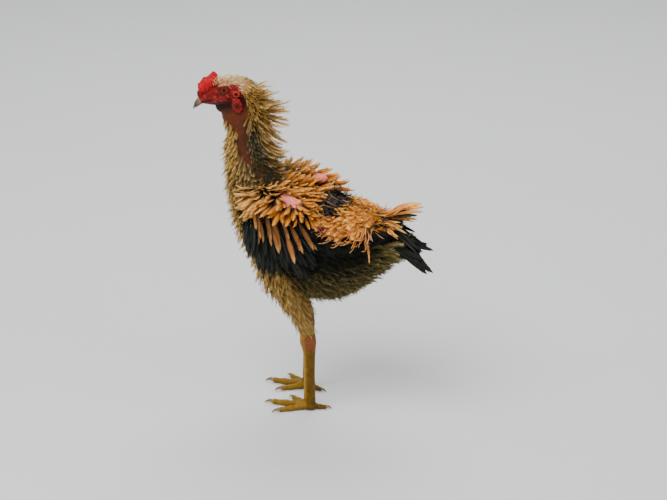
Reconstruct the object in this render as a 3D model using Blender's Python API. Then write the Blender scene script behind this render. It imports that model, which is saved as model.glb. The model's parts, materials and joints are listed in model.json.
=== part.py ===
"""A frizzle chicken, standing, at life size.

The bird faces -Y, +X is its left side and +Z is up. It is laid out round a design origin on the
floor under its body, and the last step moves all of it so that the origin is the bottom centre
of its box. Lengths are in metres and angles in degrees. Every feathered node is a core of flesh
and down with its larger feathers as bent vanes, rooted in the core and joined to it.
"""

import math
import random
from collections import namedtuple

import bmesh
import bpy
from mathutils import Euler, Matrix, Quaternion, Vector
from mathutils.bvhtree import BVHTree

# Gap that two touching nodes keep between their faces.
GAP = 0.0003

# Head: the middle of the skull between the eyes, its nose-down pitch and its turn to the left.
HEAD_AT = Vector((0.0, -0.1105, 0.3840))
HEAD_PITCH = 16.0
HEAD_YAW = 14.0
EYE_RADIUS = 0.0065
EYE_AT = Vector((0.0072, -0.0030, 0.0040))

# Feet: half the distance between the ankles, and how far back or forward each stands.
LEG_SPREAD = 0.030
LEFT_FOOT_Y = 0.002
RIGHT_FOOT_Y = -0.022

# Stations of the torso's skin: y, z of the back, z of the keel, half width.
TORSO = (
    (-0.0975, 0.2440, 0.2400, 0.0000),
    (-0.0955, 0.2580, 0.2270, 0.0170),
    (-0.0890, 0.2690, 0.2080, 0.0320),
    (-0.0775, 0.2750, 0.1900, 0.0440),
    (-0.0600, 0.2770, 0.1690, 0.0550),
    (-0.0360, 0.2740, 0.1500, 0.0610),
    (-0.0060, 0.2700, 0.1410, 0.0630),
    (0.0240, 0.2650, 0.1420, 0.0610),
    (0.0500, 0.2600, 0.1530, 0.0540),
    (0.0720, 0.2530, 0.1700, 0.0430),
    (0.0880, 0.2460, 0.1890, 0.0310),
    (0.0980, 0.2370, 0.2040, 0.0190),
    (0.1020, 0.2230, 0.2190, 0.0000),
)
# How far the core of flesh and down stands out from the torso's skin.
TORSO_DOWN = 0.0055

# Stations of the neck's skin, from the shoulders up: x, y, z, half width, half depth.
NECK = (
    (0.0000, -0.0620, 0.2420, 0.0340, 0.0340),
    (0.0000, -0.0720, 0.2600, 0.0330, 0.0340),
    (0.0000, -0.0800, 0.2760, 0.0285, 0.0300),
    (0.0000, -0.0865, 0.2920, 0.0235, 0.0250),
    (0.0000, -0.0905, 0.3080, 0.0200, 0.0215),
    (0.0000, -0.0930, 0.3240, 0.0170, 0.0190),
    (-0.0005, -0.0945, 0.3400, 0.0145, 0.0185),
    (-0.0015, -0.0970, 0.3550, 0.0125, 0.0200),
    (-0.0027, -0.1000, 0.3690, 0.0110, 0.0180),
    (-0.0035, -0.1000, 0.3820, 0.0100, 0.0140),
    (-0.0035, -0.0960, 0.3930, 0.0060, 0.0070),
)
# How far the hackle stands out behind the neck at each of those stations, and at its sides.
HACKLE_REACH = (0.0, 0.008, 0.018, 0.025, 0.030, 0.034, 0.037, 0.039, 0.038, 0.032, 0.016)
HACKLE_SIDES = 0.0018
# Share of that reach which is the core of flesh and down.
HACKLE_DOWN = 0.48

# Stations of the head in its own frame, from the beak back: y, z of the crown, z of the jaw, half width.
HEAD = (
    (-0.0360, 0.0010, -0.0085, 0.0048),
    (-0.0310, 0.0040, -0.0105, 0.0063),
    (-0.0240, 0.0080, -0.0130, 0.0080),
    (-0.0140, 0.0122, -0.0150, 0.0102),
    (-0.0040, 0.0145, -0.0164, 0.0122),
    (0.0060, 0.0152, -0.0172, 0.0136),
    (0.0150, 0.0136, -0.0168, 0.0138),
    (0.0230, 0.0098, -0.0144, 0.0122),
    (0.0285, 0.0046, -0.0096, 0.0084),
    (0.0310, -0.0030, -0.0040, 0.0000),
)

# Face, in the head's frame, for its left side: lids round the eye, the ear, its lobe, the loose skin
# of the throat, the nostril and the line of the mouth.
LID_AT, LID_RADIUS, LID_THICKNESS = Vector((0.0122, -0.003, 0.004)), 0.0050, 0.0013
EAR_AT, EAR_RADIUS, EAR_RIM = Vector((0.0134, 0.0100, -0.0040)), 0.0030, 0.0010
LOBE_AT, LOBE_RADII = Vector((0.0138, 0.0075, -0.0170)), (0.0042, 0.0066, 0.0098)
THROAT_AT, THROAT_RADII = Vector((0, -0.0120, -0.0170)), (0.0050, 0.0105, 0.0088)
NOSTRIL_AT, NOSTRIL_RADII = Vector((0.0066, -0.0280, -0.0003)), (0.0012, 0.0019, 0.0009)
MOUTH_CORNER, MOUTH_FRONT = Vector((0.0, -0.0275, -0.0046)), Vector((0.0, -0.0370, -0.0062))

# Beak, in the head's frame: y, z of the mouth line, height of the horn there, half width.
BEAK_SIDES = 8
BEAK_UPPER = (
    (-0.0363, -0.0060, 0.0070, 0.0046),
    (-0.0400, -0.0067, 0.0066, 0.0041),
    (-0.0440, -0.0080, 0.0047, 0.0030),
    (-0.0470, -0.0100, 0.0027, 0.0016),
    (-0.0486, -0.0122, 0.0009, 0.0004),
)
BEAK_LOWER = (
    (-0.0363, -0.0063, -0.0034, 0.0041),
    (-0.0400, -0.0070, -0.0032, 0.0035),
    (-0.0435, -0.0083, -0.0024, 0.0023),
    (-0.0456, -0.0095, -0.0012, 0.0009),
)

# Comb, in the head's frame: a low base, and three ridges of lumps from its front to its rear.
COMB_BASE_AT, COMB_BASE_RADII, COMB_BASE_TILT = Vector((0, -0.0225, 0.0110)), (0.0052, 0.0135, 0.0078), -30.0
COMB_FRONT, COMB_REAR = Vector((0, -0.0335, 0.0085)), Vector((0, -0.0135, 0.0215))
COMB_LUMPS, COMB_LUMP, COMB_BULGE = 4, 0.0044, 0.0026
COMB_SIDE_LUMP, COMB_GROWTH = 0.8, 0.35
COMB_RIDGE_LEAN, COMB_RIDGE_DROP = 0.0038, 0.0042

# Wings: the middle and half spans of their patch of the torso, as places and angles of its form,
# the thickness of the folded wing at its middle, the share of it lost at the rim and that gained up
# at the shoulder.
WING_MIDDLE, WING_SPAN = (4.9, 31.0), (2.15, 34.0)
WING_THICKNESS, WING_THINNING, WING_SHOULDER, WING_SIDES = 0.0080, 0.7, 1.2, 18
# How deep the wing's inner face lies under the torso's down, and its rings' shares of its half spans.
WING_SUNK, WING_RINGS = 0.003, (1.0, 0.78, 0.4, 0.0)

# Tail's fleshy root, from the rump back: y, z, half width, half height.
TAIL = (
    (0.0800, 0.2360, 0.0170, 0.0200),
    (0.0960, 0.2390, 0.0165, 0.0190),
    (0.1080, 0.2400, 0.0145, 0.0170),
    (0.1170, 0.2395, 0.0100, 0.0130),
)

# Thigh, from the body down, beside the ankle: x outwards, y, z, half width, half depth.
THIGH = (
    (-0.0020, -0.0300, 0.2150, 0.0180, 0.0260),
    (0.0050, -0.0400, 0.1930, 0.0190, 0.0270),
    (0.0070, -0.0360, 0.1700, 0.0180, 0.0240),
    (0.0050, -0.0240, 0.1450, 0.0135, 0.0175),
    (0.0030, -0.0120, 0.1220, 0.0095, 0.0120),
    (0.0010, -0.0040, 0.1050, 0.0080, 0.0100),
    (0.0000, -0.0020, 0.0985, 0.0080, 0.0098),
    (0.0000, -0.0020, 0.0960, 0.0080, 0.0096),
)

# Shank, from the hock down: y, z, half width, half depth.
ANKLE_HEIGHT = 0.0150
SHANK = (
    (-0.0020, 0.0957, 0.0083, 0.0098),
    (-0.0020, 0.0930, 0.0084, 0.0100),
    (-0.0015, 0.0870, 0.0085, 0.0103),
    (-0.0005, 0.0780, 0.0070, 0.0085),
    (0.0000, 0.0650, 0.0056, 0.0071),
    (0.0000, 0.0400, 0.0053, 0.0068),
    (0.0000, 0.0230, 0.0060, 0.0072),
    (0.0000, ANKLE_HEIGHT, 0.0064, 0.0074),
)

# Toes: bearing from straight ahead, positive outwards, length to the claw, radius. The last is the hind toe.
TOES = ((-34, 0.034, 0.0038), (2, 0.047, 0.0042), (36, 0.038, 0.0037), (196, 0.020, 0.0034))
TOE_JOINTS = 0.10
TOE_STEPS = (0.0, 0.22, 0.42, 0.62, 0.82, 1.0)
# The pad under the ankle: height of its middle and its radii.
PAD_AT, PAD_RADII = 0.0040, (0.0080, 0.0085, 0.0055)
# Claws: length as a base and a share of the toe's, height of the arch and of the tip, half sizes along each.
CLAW_BASE, CLAW_SHARE, CLAW_ARCH, CLAW_TIP = 0.0045, 0.14, 0.0012, 0.0010
CLAW = ((0.0, 0.76), (0.12, 0.74), (0.4, 0.62), (0.72, 0.44), (1.0, 0.22))

# Sides round each form.
TORSO_SIDES, NECK_SIDES, HEAD_SIDES = 18, 14, 18

# Kinds of feather: length from the skin out, width, angle at which it leaves the skin, how far it then
# curls up and back, how far it may twist, and the number of its bends. All but the flight and tail
# feathers are frizzled.
Feather = namedtuple("Feather", "length width lift curl twist bends")
HACKLE = Feather(0.029, 0.0095, 34, 50, 50, 2)
NAPE = Feather(0.026, 0.0085, 30, 36, 30, 2)
RUFF = Feather(0.014, 0.0085, 8, 50, 15, 2)
BREAST = Feather(0.016, 0.0120, 8, 60, 20, 2)
BACK = Feather(0.019, 0.0120, 8, 50, 20, 2)
SADDLE = Feather(0.044, 0.0080, 14, -36, 50, 2)
FLUFF = Feather(0.024, 0.0130, 12, 50, 20, 2)
VENT = Feather(0.028, 0.0120, 16, 36, 30, 2)
COVERT = Feather(0.022, 0.0115, 8, 48, 16, 2)
SCAPULAR = Feather(0.026, 0.0115, 20, 52, 25, 2)
SECONDARY = Feather(0.046, 0.0105, 3, 8, 6, 2)
TAIL_QUILL = Feather(0.048, 0.0130, 2, 8, 8, 2)
TAIL_COVERT = Feather(0.036, 0.0090, 6, 30, 30, 2)
THIGH_TUFT = Feather(0.020, 0.0110, 8, 40, 20, 2)

# Rows of the hackle: the lowest row's place along the neck, the step between rows, their number, the
# feathers in a row, the angle between them, and how much longer the middle rows are.
HACKLE_FIRST, HACKLE_STEP, HACKLE_ROWS, HACKLE_COUNT, HACKLE_ANGLE = 1.5, 1.08, 7, 6, 25
HACKLE_SHORTEST, HACKLE_GROWTH = 0.8, 0.35
# Rows of the nape's cap: place along the neck and number of feathers, and the angle between them.
NAPE_ROWS, NAPE_ANGLE = ((8.9, 5), (9.6, 4)), 32
# Rows of the ruff round the front: the lowest row's place, step, number, and angle between feathers.
RUFF_FIRST, RUFF_STEP, RUFF_ROWS, RUFF_ANGLE = 1.3, 1.4, 3, 60
# Flight feathers of each wing: their number, how far they reach to each side of its middle, the height
# of the foremost and hindmost roots, and the foremost's turn down and the hindmost's share of it.
FLIGHTS, FLIGHT_SPREAD, FLIGHT_ROOTS, FLIGHT_TURNS = 10, 0.58, (-0.46, -0.36), (84, 38)
# Tiers of each wing's coverts: kind, height on the wing, number and turn down from its length.
COVERT_TIERS = (
    (SCAPULAR, 0.86, 5, -34),
    (SCAPULAR, 0.58, 6, -4),
    (COVERT, 0.28, 6, 30),
    (COVERT, -0.02, 7, 46),
    (COVERT, -0.32, 6, 54),
)
# How much further down the foremost feather of a tier points, and its share of the tier's curl.
FRONT_TURN, FRONT_CURL = 54, 0.3
# Share of each tier's half width over which its feathers are rooted.
TIER_WIDTH = 0.84
# Tail quills of one side, from the lowest up: root's height, slope, length as a share of the kind's.
QUILLS = (
    (0.2235, -31, 0.76),
    (0.2260, -35, 0.98),
    (0.2290, -36, 1.06),
    (0.2325, -34, 0.98),
    (0.2365, -30, 0.88),
    (0.2405, -26, 0.78),
    (0.2450, -20, 0.68),
)
# Where the quills are rooted along the tail, how far apart they stand and spread, low down and on top.
QUILL_Y, QUILL_SIDE, QUILL_SPREAD = 0.1095, (0.0125, 0.0035), (0.32, 0.12)
# Rows of tail coverts: place along the tail and number, the angle between them and their slope.
TAIL_COVERT_ROWS, TAIL_COVERT_ANGLE, TAIL_COVERT_SLOPE = ((0.099, 4), (0.108, 5)), 34, 0.15
# Rows of thigh feathers along the thigh, and the angle between them round it.
THIGH_ROWS, THIGH_ANGLE = (2.4, 3.2, 3.9), 72
# Rows of torso feathers: kind, place along the torso, angles round its left side, turn off its length.
TORSO_ROWS = (
    (BREAST, 1.5, (-35, 0, 35), -40),
    (BREAST, 2.4, (-66, -34, -4), -40),
    (BREAST, 3.3, (-50,), -36),
    (BACK, 4.9, (82,), 0),
    (BACK, 5.8, (76, 90), 0),
    (BACK, 6.7, (72, 86), -10),
    (SADDLE, 7.5, (26, 42, 58, 74), -104),
    (SADDLE, 8.2, (18, 34, 50, 68), -94),
    (SADDLE, 9.0, (16, 32, 52, 74), -78),
    (SADDLE._replace(length=0.030), 9.8, (24, 52), -50),
    (FLUFF, 4.6, (-60,), -20),
    (FLUFF, 6.0, (-30, -66), -20),
    (FLUFF, 7.3, (-20, -52), -18),
    (FLUFF, 8.6, (-30, -64), -16),
    (VENT, 9.6, (-74, -46, -16), 0),
    (VENT, 10.5, (-60, -28), 0),
)
# Thickness of a vane at its root and just before its tip, and how deep the root is sunk.
VANE_THICKNESS, TIP_THICKNESS, ROOT_DEPTH = 0.0009, 0.0006, 0.0022
# Steps in which a vane's centre line is followed.
VANE_STEPS = 12
# Ways to clear a neighbour, tried in turn: extra lift and share of the length.
BENDS = ((0, 1.0), (14, 0.95), (28, 0.85), (44, 0.7), (60, 0.55))


def curve_value(stations, place):
    """The stations' values at a place counted in stations, by a cubic through its neighbours."""
    last = len(stations) - 1
    step = min(int(place), last - 1)
    share = place - step
    before, start, end, after = (stations[max(0, min(last, step + k))] for k in (-1, 0, 1, 2))
    values = []
    for p, q, r, s in zip(before, start, end, after):
        slope_in, slope_out = (r - p) / 2, (s - q) / 2
        cube, square = share**3, share**2
        values.append(
            (2 * cube - 3 * square + 1) * q
            + (cube - 2 * square + share) * slope_in
            + (3 * square - 2 * cube) * r
            + (cube - square) * slope_out
        )
    return values


class Form:
    """A closed body made of rings round an axis in, or nearly in, the bird's middle plane."""

    def __init__(self, stations, sides, upright, keel=0.0):
        self.stations, self.sides, self.upright, self.keel = stations, sides, upright, keel
        self.last = len(stations) - 1

    def ring_frame(self, along):
        """Centre, half width, half height and the ring's upward direction at a place."""
        if self.upright:
            y, top, bottom, half_width = curve_value(self.stations, along)
            centre, half_height = Vector((0, y, (top + bottom) / 2)), (top - bottom) / 2
            up = Vector((0, 0, 1))
        else:
            x, y, z, half_width, half_height = curve_value(self.stations, along)
            step = 0.02
            ends = [curve_value(self.stations, min(self.last, max(0, along + d))) for d in (-step, step)]
            tangent = Vector((0, ends[1][1] - ends[0][1], ends[1][2] - ends[0][2])).normalized()
            centre, up = Vector((x, y, z)), Vector((1, 0, 0)).cross(tangent)
        return centre, max(half_width, 0), max(half_height, 0), up

    def skin(self, along, angle):
        """A point of the skin. The angle is 90 at the ring's top and 0 on the left side."""
        centre, half_width, half_height, up = self.ring_frame(along)
        turn = math.radians(angle)
        narrowing = 1 - self.keel * (1 - math.sin(turn)) / 2
        return centre + Vector((half_width * narrowing * math.cos(turn), 0, 0)) + up * (
            half_height * math.sin(turn)
        )

    def normal(self, along, angle):
        """The outward direction at a point of the skin."""
        low, high = max(0.0, along - 0.05), min(self.last, along + 0.05)
        lengthwise = self.skin(high, angle) - self.skin(low, angle)
        around = self.skin(along, angle + 2) - self.skin(along, angle - 2)
        out = around.cross(lengthwise)
        centre = self.ring_frame(along)[0]
        if out.length < 1e-12:
            out = self.skin(along, angle) - centre
        out.normalize()
        return out if out.dot(self.skin(along, angle) - centre) >= 0 else -out

    def mesh(self, per_station, coat=None, grow=0.0):
        """A bmesh of the form, coat(along, angle) and grow being added to its radii."""
        shape = bmesh.new()
        rings, count = [], self.last * per_station
        for i in range(count + 1):
            along = i / per_station
            centre, half_width, _, _ = self.ring_frame(along)
            if half_width < 1e-6:
                depth = grow + (coat(along, 0) if coat else 0.0)
                rings.append([shape.verts.new(centre + Vector((0, math.copysign(depth, i - 1), 0)))])
                continue
            ring = []
            for j in range(self.sides):
                angle = 360 * j / self.sides
                depth = grow + (coat(along, angle) if coat else 0.0)
                ring.append(shape.verts.new(self.skin(along, angle) + self.normal(along, angle) * depth))
            rings.append(ring)
        join_rings(shape, rings)
        return shape

    def spot(self, along, angle, coat, side=1):
        """A point of the coat with its outward and lengthwise directions, on either side of the bird."""
        out = self.normal(along, angle)
        ahead = self.skin(min(self.last, along + 0.1), angle) - self.skin(max(0, along - 0.1), angle)
        ahead = (ahead - out * ahead.dot(out)).normalized()
        point = self.skin(along, angle) + out * coat(along, angle)
        return tuple(Vector((v.x * side, v.y, v.z)) for v in (point, out, ahead))


def join_rings(shape, rings):
    """Triangles between rings of points, where a ring of one point is a pole and other ends are capped.

    Every band is split along the same diagonals, so that a grown copy of a form keeps clear of it.
    """
    for low, high in zip(rings, rings[1:]):
        count = max(len(low), len(high))
        for j in range(count):
            k = (j + 1) % count
            a, b, c, d = low[j % len(low)], low[k % len(low)], high[k % len(high)], high[j % len(high)]
            for corners in ((a, b, c), (a, c, d)):
                if len(set(corners)) == 3:
                    shape.faces.new(corners)
    for ring in (rings[0], rings[-1]):
        if len(ring) > 2:
            shape.faces.new(ring)
    bmesh.ops.recalc_face_normals(shape, faces=shape.faces)


def node(name, shape, material):
    """A named object from a bmesh, in the bird's collection."""
    mesh = bpy.data.meshes.new(name)
    bmesh.ops.triangulate(shape, faces=shape.faces)
    shape.to_mesh(mesh)
    shape.free()
    mesh.materials.append(material)
    made = bpy.data.objects.new(name, mesh)
    BIRD.objects.link(made)
    return made


def apply_modifiers(made):
    """The object with its modifiers turned into its mesh."""
    graph = bpy.context.evaluated_depsgraph_get()
    mesh = bpy.data.meshes.new_from_object(made.evaluated_get(graph))
    made.modifiers.clear()
    made.data = mesh


def combine(made, shapes, operation):
    """One Boolean of a node with closed shapes, given as bmeshes, keeping its largest surface."""
    holder = bpy.data.collections.new(made.name + "_shapes")
    bpy.context.scene.collection.children.link(holder)
    for shape in shapes:
        mesh = bpy.data.meshes.new("shape")
        shape.to_mesh(mesh)
        shape.free()
        mesh.materials.append(made.data.materials[0])
        piece = bpy.data.objects.new("shape", mesh)
        piece.hide_render = True
        holder.objects.link(piece)
    boolean = made.modifiers.new("Combine", "BOOLEAN")
    boolean.operation = operation
    boolean.operand_type = "COLLECTION"
    boolean.collection = holder
    boolean.solver = "MANIFOLD"
    apply_modifiers(made)
    for piece in list(holder.objects):
        bpy.data.objects.remove(piece)
    bpy.data.collections.remove(holder)
    keep_largest(made)


def keep_largest(made):
    """Drops every closed surface of a node but its largest."""
    shape = bmesh.new()
    shape.from_mesh(made.data)
    left, parts = set(shape.faces), []
    while left:
        stack, part = [left.pop()], []
        while stack:
            face = stack.pop()
            part.append(face)
            for edge in face.edges:
                for other in edge.link_faces:
                    if other in left:
                        left.remove(other)
                        stack.append(other)
        parts.append(part)
    parts.sort(key=lambda part: sum(face.calc_area() for face in part))
    loose = [face for part in parts[:-1] for face in part]
    bmesh.ops.delete(shape, geom=loose, context="FACES")
    bmesh.ops.delete(shape, geom=[v for v in shape.verts if not v.link_faces], context="VERTS")
    shape.to_mesh(made.data)
    shape.free()


def ball(centre, radii, turn=None, segments=12, rings=8):
    """A bmesh ellipsoid."""
    shape = bmesh.new()
    place = Matrix.Translation(centre) @ (turn or Matrix()) @ Matrix.Diagonal((*radii, 1))
    bmesh.ops.create_uvsphere(shape, u_segments=segments, v_segments=rings, radius=1, matrix=place)
    return shape


def tube(points, widths, heights, sides, up=Vector((0, 0, 1))):
    """A bmesh tube with flat ends through points, each with its half width and half height."""
    shape, rings = bmesh.new(), []
    for i, point in enumerate(points):
        ahead = (points[min(i + 1, len(points) - 1)] - points[max(i - 1, 0)]).normalized()
        side = ahead.cross(up).normalized()
        rise = side.cross(ahead)
        ring = []
        for j in range(sides):
            turn = 2 * math.pi * (j + 0.5) / sides
            offset = side * (widths[i] * math.cos(turn)) + rise * (heights[i] * math.sin(turn))
            ring.append(shape.verts.new(point + offset))
        rings.append(ring)
    join_rings(shape, rings)
    return shape


def moved(shape, matrix):
    """The bmesh after a move, for the head's pieces, which are made in the head's own frame."""
    bmesh.ops.transform(shape, matrix=matrix, verts=shape.verts)
    return shape


def material(name, colour, roughness):
    """A Principled material in one colour."""
    made = bpy.data.materials.new(name)
    made.use_nodes = True
    shader = made.node_tree.nodes["Principled BSDF"]
    shader.inputs["Base Color"].default_value = (*colour, 1)
    shader.inputs["Roughness"].default_value = roughness
    shader.inputs["Metallic"].default_value = 0.0
    return made


def vane(feather, root, out, lie, grow=0.0):
    """A bmesh of one feather: a flat, tapered strip that leaves the skin along its lie and curls up.

    Its centre line turns from the lift towards the lift plus the curl, faster near the tip.
    Both faces of the strip are split into the same triangles, so that they can't cross.
    """
    across = lie.cross(out).normalized()
    shape, rings = bmesh.new(), []
    point, steps = root - out * ROOT_DEPTH, VANE_STEPS
    marks = {round(steps * (i + 1) / (feather.bends + 1)): i + 1 for i in range(feather.bends)}
    marks[0] = 0
    for step in range(steps + 1):
        share = step / steps
        heading = math.radians(feather.lift + feather.curl * share**1.4)
        ahead = lie * math.cos(heading) + out * math.sin(heading)
        if step in marks:
            width = feather.width * math.sin(math.pi * (0.2 + 0.62 * share)) ** 0.7
            thickness = VANE_THICKNESS + (TIP_THICKNESS - VANE_THICKNESS) * share
            side = Quaternion(ahead, math.radians(feather.twist) * share) @ across
            rise = side.cross(ahead).normalized() * (thickness / 2 + grow)
            side *= width / 2 + grow
            corners = ((-1, -1), (1, -1), (1, 1), (-1, 1))
            rings.append([shape.verts.new(point + side * a + rise * b) for a, b in corners])
        point = point + ahead * ((feather.length + ROOT_DEPTH) / steps)
    tip = shape.verts.new(point + ahead * grow)
    shape.faces.new(rings[0])
    for low, high in zip(rings, rings[1:]):
        for j in range(4):
            k = (j + 1) % 4
            if j == 0:
                pair = ((low[j], low[k], high[j]), (low[k], high[k], high[j]))
            else:
                pair = ((low[j], low[k], high[k]), (low[j], high[k], high[j]))
            for corners in pair:
                shape.faces.new(corners)
    for j in range(4):
        shape.faces.new((rings[-1][j], rings[-1][(j + 1) % 4], tip))
    bmesh.ops.recalc_face_normals(shape, faces=shape.faces)
    return shape


class Plumage:
    """The vanes of one node, each bent or shortened until it clears every other node."""

    def __init__(self, made, seed):
        self.made, self.shapes, self.chance = made, [], random.Random(seed)

    def grow(self, feather, root, out, lie, turn=0.0):
        """Adds a feather, varied a little, whose lie is turned about the outward direction."""
        turn += self.chance.uniform(-9, 9)
        lie = (Quaternion(out, math.radians(turn)) @ lie).normalized()
        feather = feather._replace(
            length=feather.length * self.chance.uniform(0.88, 1.12),
            lift=feather.lift + self.chance.uniform(-4, 6),
            curl=feather.curl * self.chance.uniform(0.8, 1.2),
            twist=feather.twist * self.chance.uniform(-1, 1),
        )
        for lift, share in BENDS:
            bent = feather._replace(lift=feather.lift + lift, length=feather.length * share)
            probe = vane(bent, root, out, lie, GAP)
            tree = BVHTree.FromBMesh(probe)
            lowest = min(v.co.z for v in probe.verts)
            probe.free()
            others = [t for name, trees in OBSTACLES.items() if name != self.made.name for t in trees]
            if lowest > GAP and not any(tree.overlap(other) for other in others):
                self.shapes.append(vane(bent, root, out, lie))
                return

    def join(self):
        """Fuses the feathers with their node, which later nodes then keep clear of."""
        combine(self.made, self.shapes, "UNION")
        remember(self.made)


def remember(made):
    """Keeps the surface of a finished node or core, for the vanes of other nodes to clear."""
    shape = bmesh.new()
    shape.from_mesh(made.data)
    OBSTACLES[made.name] = [BVHTree.FromBMesh(shape)]
    shape.free()


# The scene is cleared, and the bird gets a collection of its own.
for old in list(bpy.data.objects):
    bpy.data.objects.remove(old)
BIRD = bpy.data.collections.new("frizzle_chicken")
bpy.context.scene.collection.children.link(BIRD)
OBSTACLES = {}

RED = material("red_skin", (0.62, 0.05, 0.06), 0.45)
PLUMAGE = material("orange_feathers", (0.62, 0.27, 0.06), 0.8)
BUFF = material("buff_feathers", (0.66, 0.40, 0.16), 0.8)
BLACK = material("black_feathers", (0.03, 0.03, 0.028), 0.7)
LEG = material("leg_scales", (0.62, 0.33, 0.05), 0.5)
HORN = material("horn", (0.30, 0.20, 0.10), 0.4)
EYE = material("eye", (0.55, 0.38, 0.16), 0.1)

torso_form = Form(TORSO, TORSO_SIDES, upright=True, keel=0.14)
neck_form = Form(NECK, NECK_SIDES, upright=False)
head_form = Form(HEAD, HEAD_SIDES, upright=True, keel=0.1)
HEAD_FRAME = (
    Matrix.Translation(HEAD_AT)
    @ Euler((0, 0, math.radians(HEAD_YAW))).to_matrix().to_4x4()
    @ Euler((math.radians(HEAD_PITCH), 0, 0)).to_matrix().to_4x4()
)


def torso_down(along, angle):
    """How far the torso's core stands out from its skin."""
    return TORSO_DOWN


def neck_down(along, angle):
    """How far the neck's core stands out: most behind, little on the bare sides and in front."""
    behind = max(0.0, math.sin(math.radians(-angle)))
    (reach,) = curve_value([(value,) for value in HACKLE_REACH], along)
    return HACKLE_SIDES + reach * HACKLE_DOWN * behind**1.5


def half_disc_rings(stations):
    """A bmesh with a round and a flat side: rows of y, z of the flat, rise of the round, half width."""
    shape, rings = bmesh.new(), []
    for y, z, rise, half_width in stations:
        turns = [math.pi * j / BEAK_SIDES for j in range(BEAK_SIDES + 1)]
        rings.append(
            [shape.verts.new((half_width * math.cos(t), y, z + rise * math.sin(t))) for t in turns]
        )
    join_rings(shape, rings)
    return shape


def torus(centre, major, minor):
    """A bmesh ring lying on the side of the head."""
    bpy.ops.mesh.primitive_torus_add(
        major_radius=major, minor_radius=minor, major_segments=10, minor_segments=4
    )
    made = bpy.context.object
    shape = bmesh.new()
    shape.from_mesh(made.data)
    bpy.data.objects.remove(made)
    turn = Euler((0, math.radians(90), 0)).to_matrix().to_4x4()
    return moved(shape, Matrix.Translation(centre) @ turn)


def mirrored(point, side):
    """A point of the bird's left side, or the like point of its right side."""
    return Vector((point[0] * side, point[1], point[2]))


def head_shapes(grow=0.0):
    """The skull, the rims of its lids and ears and the throat, which may be grown to cut a neighbour."""
    shapes = [head_form.mesh(1, grow=grow)]
    for side in (1, -1):
        shapes.append(torus(mirrored(LID_AT, side), LID_RADIUS, LID_THICKNESS + grow))
        shapes.append(torus(mirrored(EAR_AT, side), EAR_RADIUS, EAR_RIM + grow))
    shapes.append(ball(THROAT_AT, [radius + grow for radius in THROAT_RADII], segments=10, rings=7))
    return [moved(shape, HEAD_FRAME) for shape in shapes]


def torso_cutter():
    """The torso's core grown by the gap, to cut its neighbours."""
    return torso_form.mesh(1, torso_down, GAP)


def build_torso():
    """The torso's core of flesh and down."""
    return node("torso", torso_form.mesh(1, torso_down), PLUMAGE)


def build_neck():
    """The neck's core, cut to stand on the torso and under the head."""
    neck = node("neck", neck_form.mesh(1, neck_down), BUFF)
    combine(neck, [torso_cutter(), *head_shapes(GAP)], "DIFFERENCE")
    return neck


def build_head():
    """The bare face and the crown, with lids, ear cups, nostrils and the corners of the mouth."""
    skull, *rims = head_shapes()
    head = node("head", skull, RED)
    combine(head, rims, "UNION")
    cuts = []
    for side in (1, -1):
        cuts.append(ball(mirrored(EYE_AT, side), (EYE_RADIUS + GAP,) * 3, segments=12, rings=8))
        cuts.append(ball(mirrored(EAR_AT, side), (EAR_RADIUS - EAR_RIM / 2,) * 3, segments=6, rings=4))
        cuts.append(ball(mirrored(NOSTRIL_AT, side), NOSTRIL_RADII, segments=6, rings=4))
    slit = bmesh.new()
    length = (MOUTH_FRONT - MOUTH_CORNER).length
    slope = math.atan2(MOUTH_CORNER.z - MOUTH_FRONT.z, MOUTH_CORNER.y - MOUTH_FRONT.y)
    place = (
        Matrix.Translation((MOUTH_FRONT + MOUTH_CORNER) / 2)
        @ Euler((slope, 0, 0)).to_matrix().to_4x4()
        @ Matrix.Diagonal((0.04, length, GAP, 1))
    )
    bmesh.ops.create_cube(slit, size=1, matrix=place)
    cuts.append(slit)
    combine(head, [moved(cut, HEAD_FRAME) for cut in cuts], "DIFFERENCE")
    return head


def build_beak():
    """The two halves of the beak, which meet along the line of the mouth."""
    for name, stations in (("beak_upper", BEAK_UPPER), ("beak_lower", BEAK_LOWER)):
        node(name, moved(half_disc_rings(stations), HEAD_FRAME), HORN)


def build_eyes():
    """The two eyeballs, set in the head's sockets."""
    for name, side in (("eye_left", 1), ("eye_right", -1)):
        eye = ball(mirrored(EYE_AT, side), (EYE_RADIUS,) * 3, segments=12, rings=8)
        node(name, moved(eye, HEAD_FRAME), EYE)


def build_comb():
    """A low lumpy comb in three ridges, cut to sit on the forehead."""
    tilt = Euler((-math.radians(COMB_BASE_TILT), 0, 0)).to_matrix().to_4x4()
    base = ball(COMB_BASE_AT, COMB_BASE_RADII, tilt, segments=10, rings=7)
    lumps = []
    for row in (0, 1, -1):
        for step in range(COMB_LUMPS):
            share = (step + 0.5 * abs(row)) / COMB_LUMPS
            arch = COMB_BULGE * math.sin(math.pi * share)
            place = COMB_FRONT.lerp(COMB_REAR, share) + Vector((row * COMB_RIDGE_LEAN, 0, arch))
            place.z -= abs(row) * COMB_RIDGE_DROP
            size = COMB_LUMP * (0.85 + COMB_GROWTH * share) * (1.0 if row == 0 else COMB_SIDE_LUMP)
            lumps.append(ball(place, (size * 0.8, size * 0.9, size * 1.15), segments=6, rings=4))
    comb = node("comb", moved(base, HEAD_FRAME), RED)
    combine(comb, [moved(lump, HEAD_FRAME) for lump in lumps], "UNION")
    combine(comb, [moved(head_form.mesh(1, grow=GAP), HEAD_FRAME)], "DIFFERENCE")
    return comb


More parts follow.
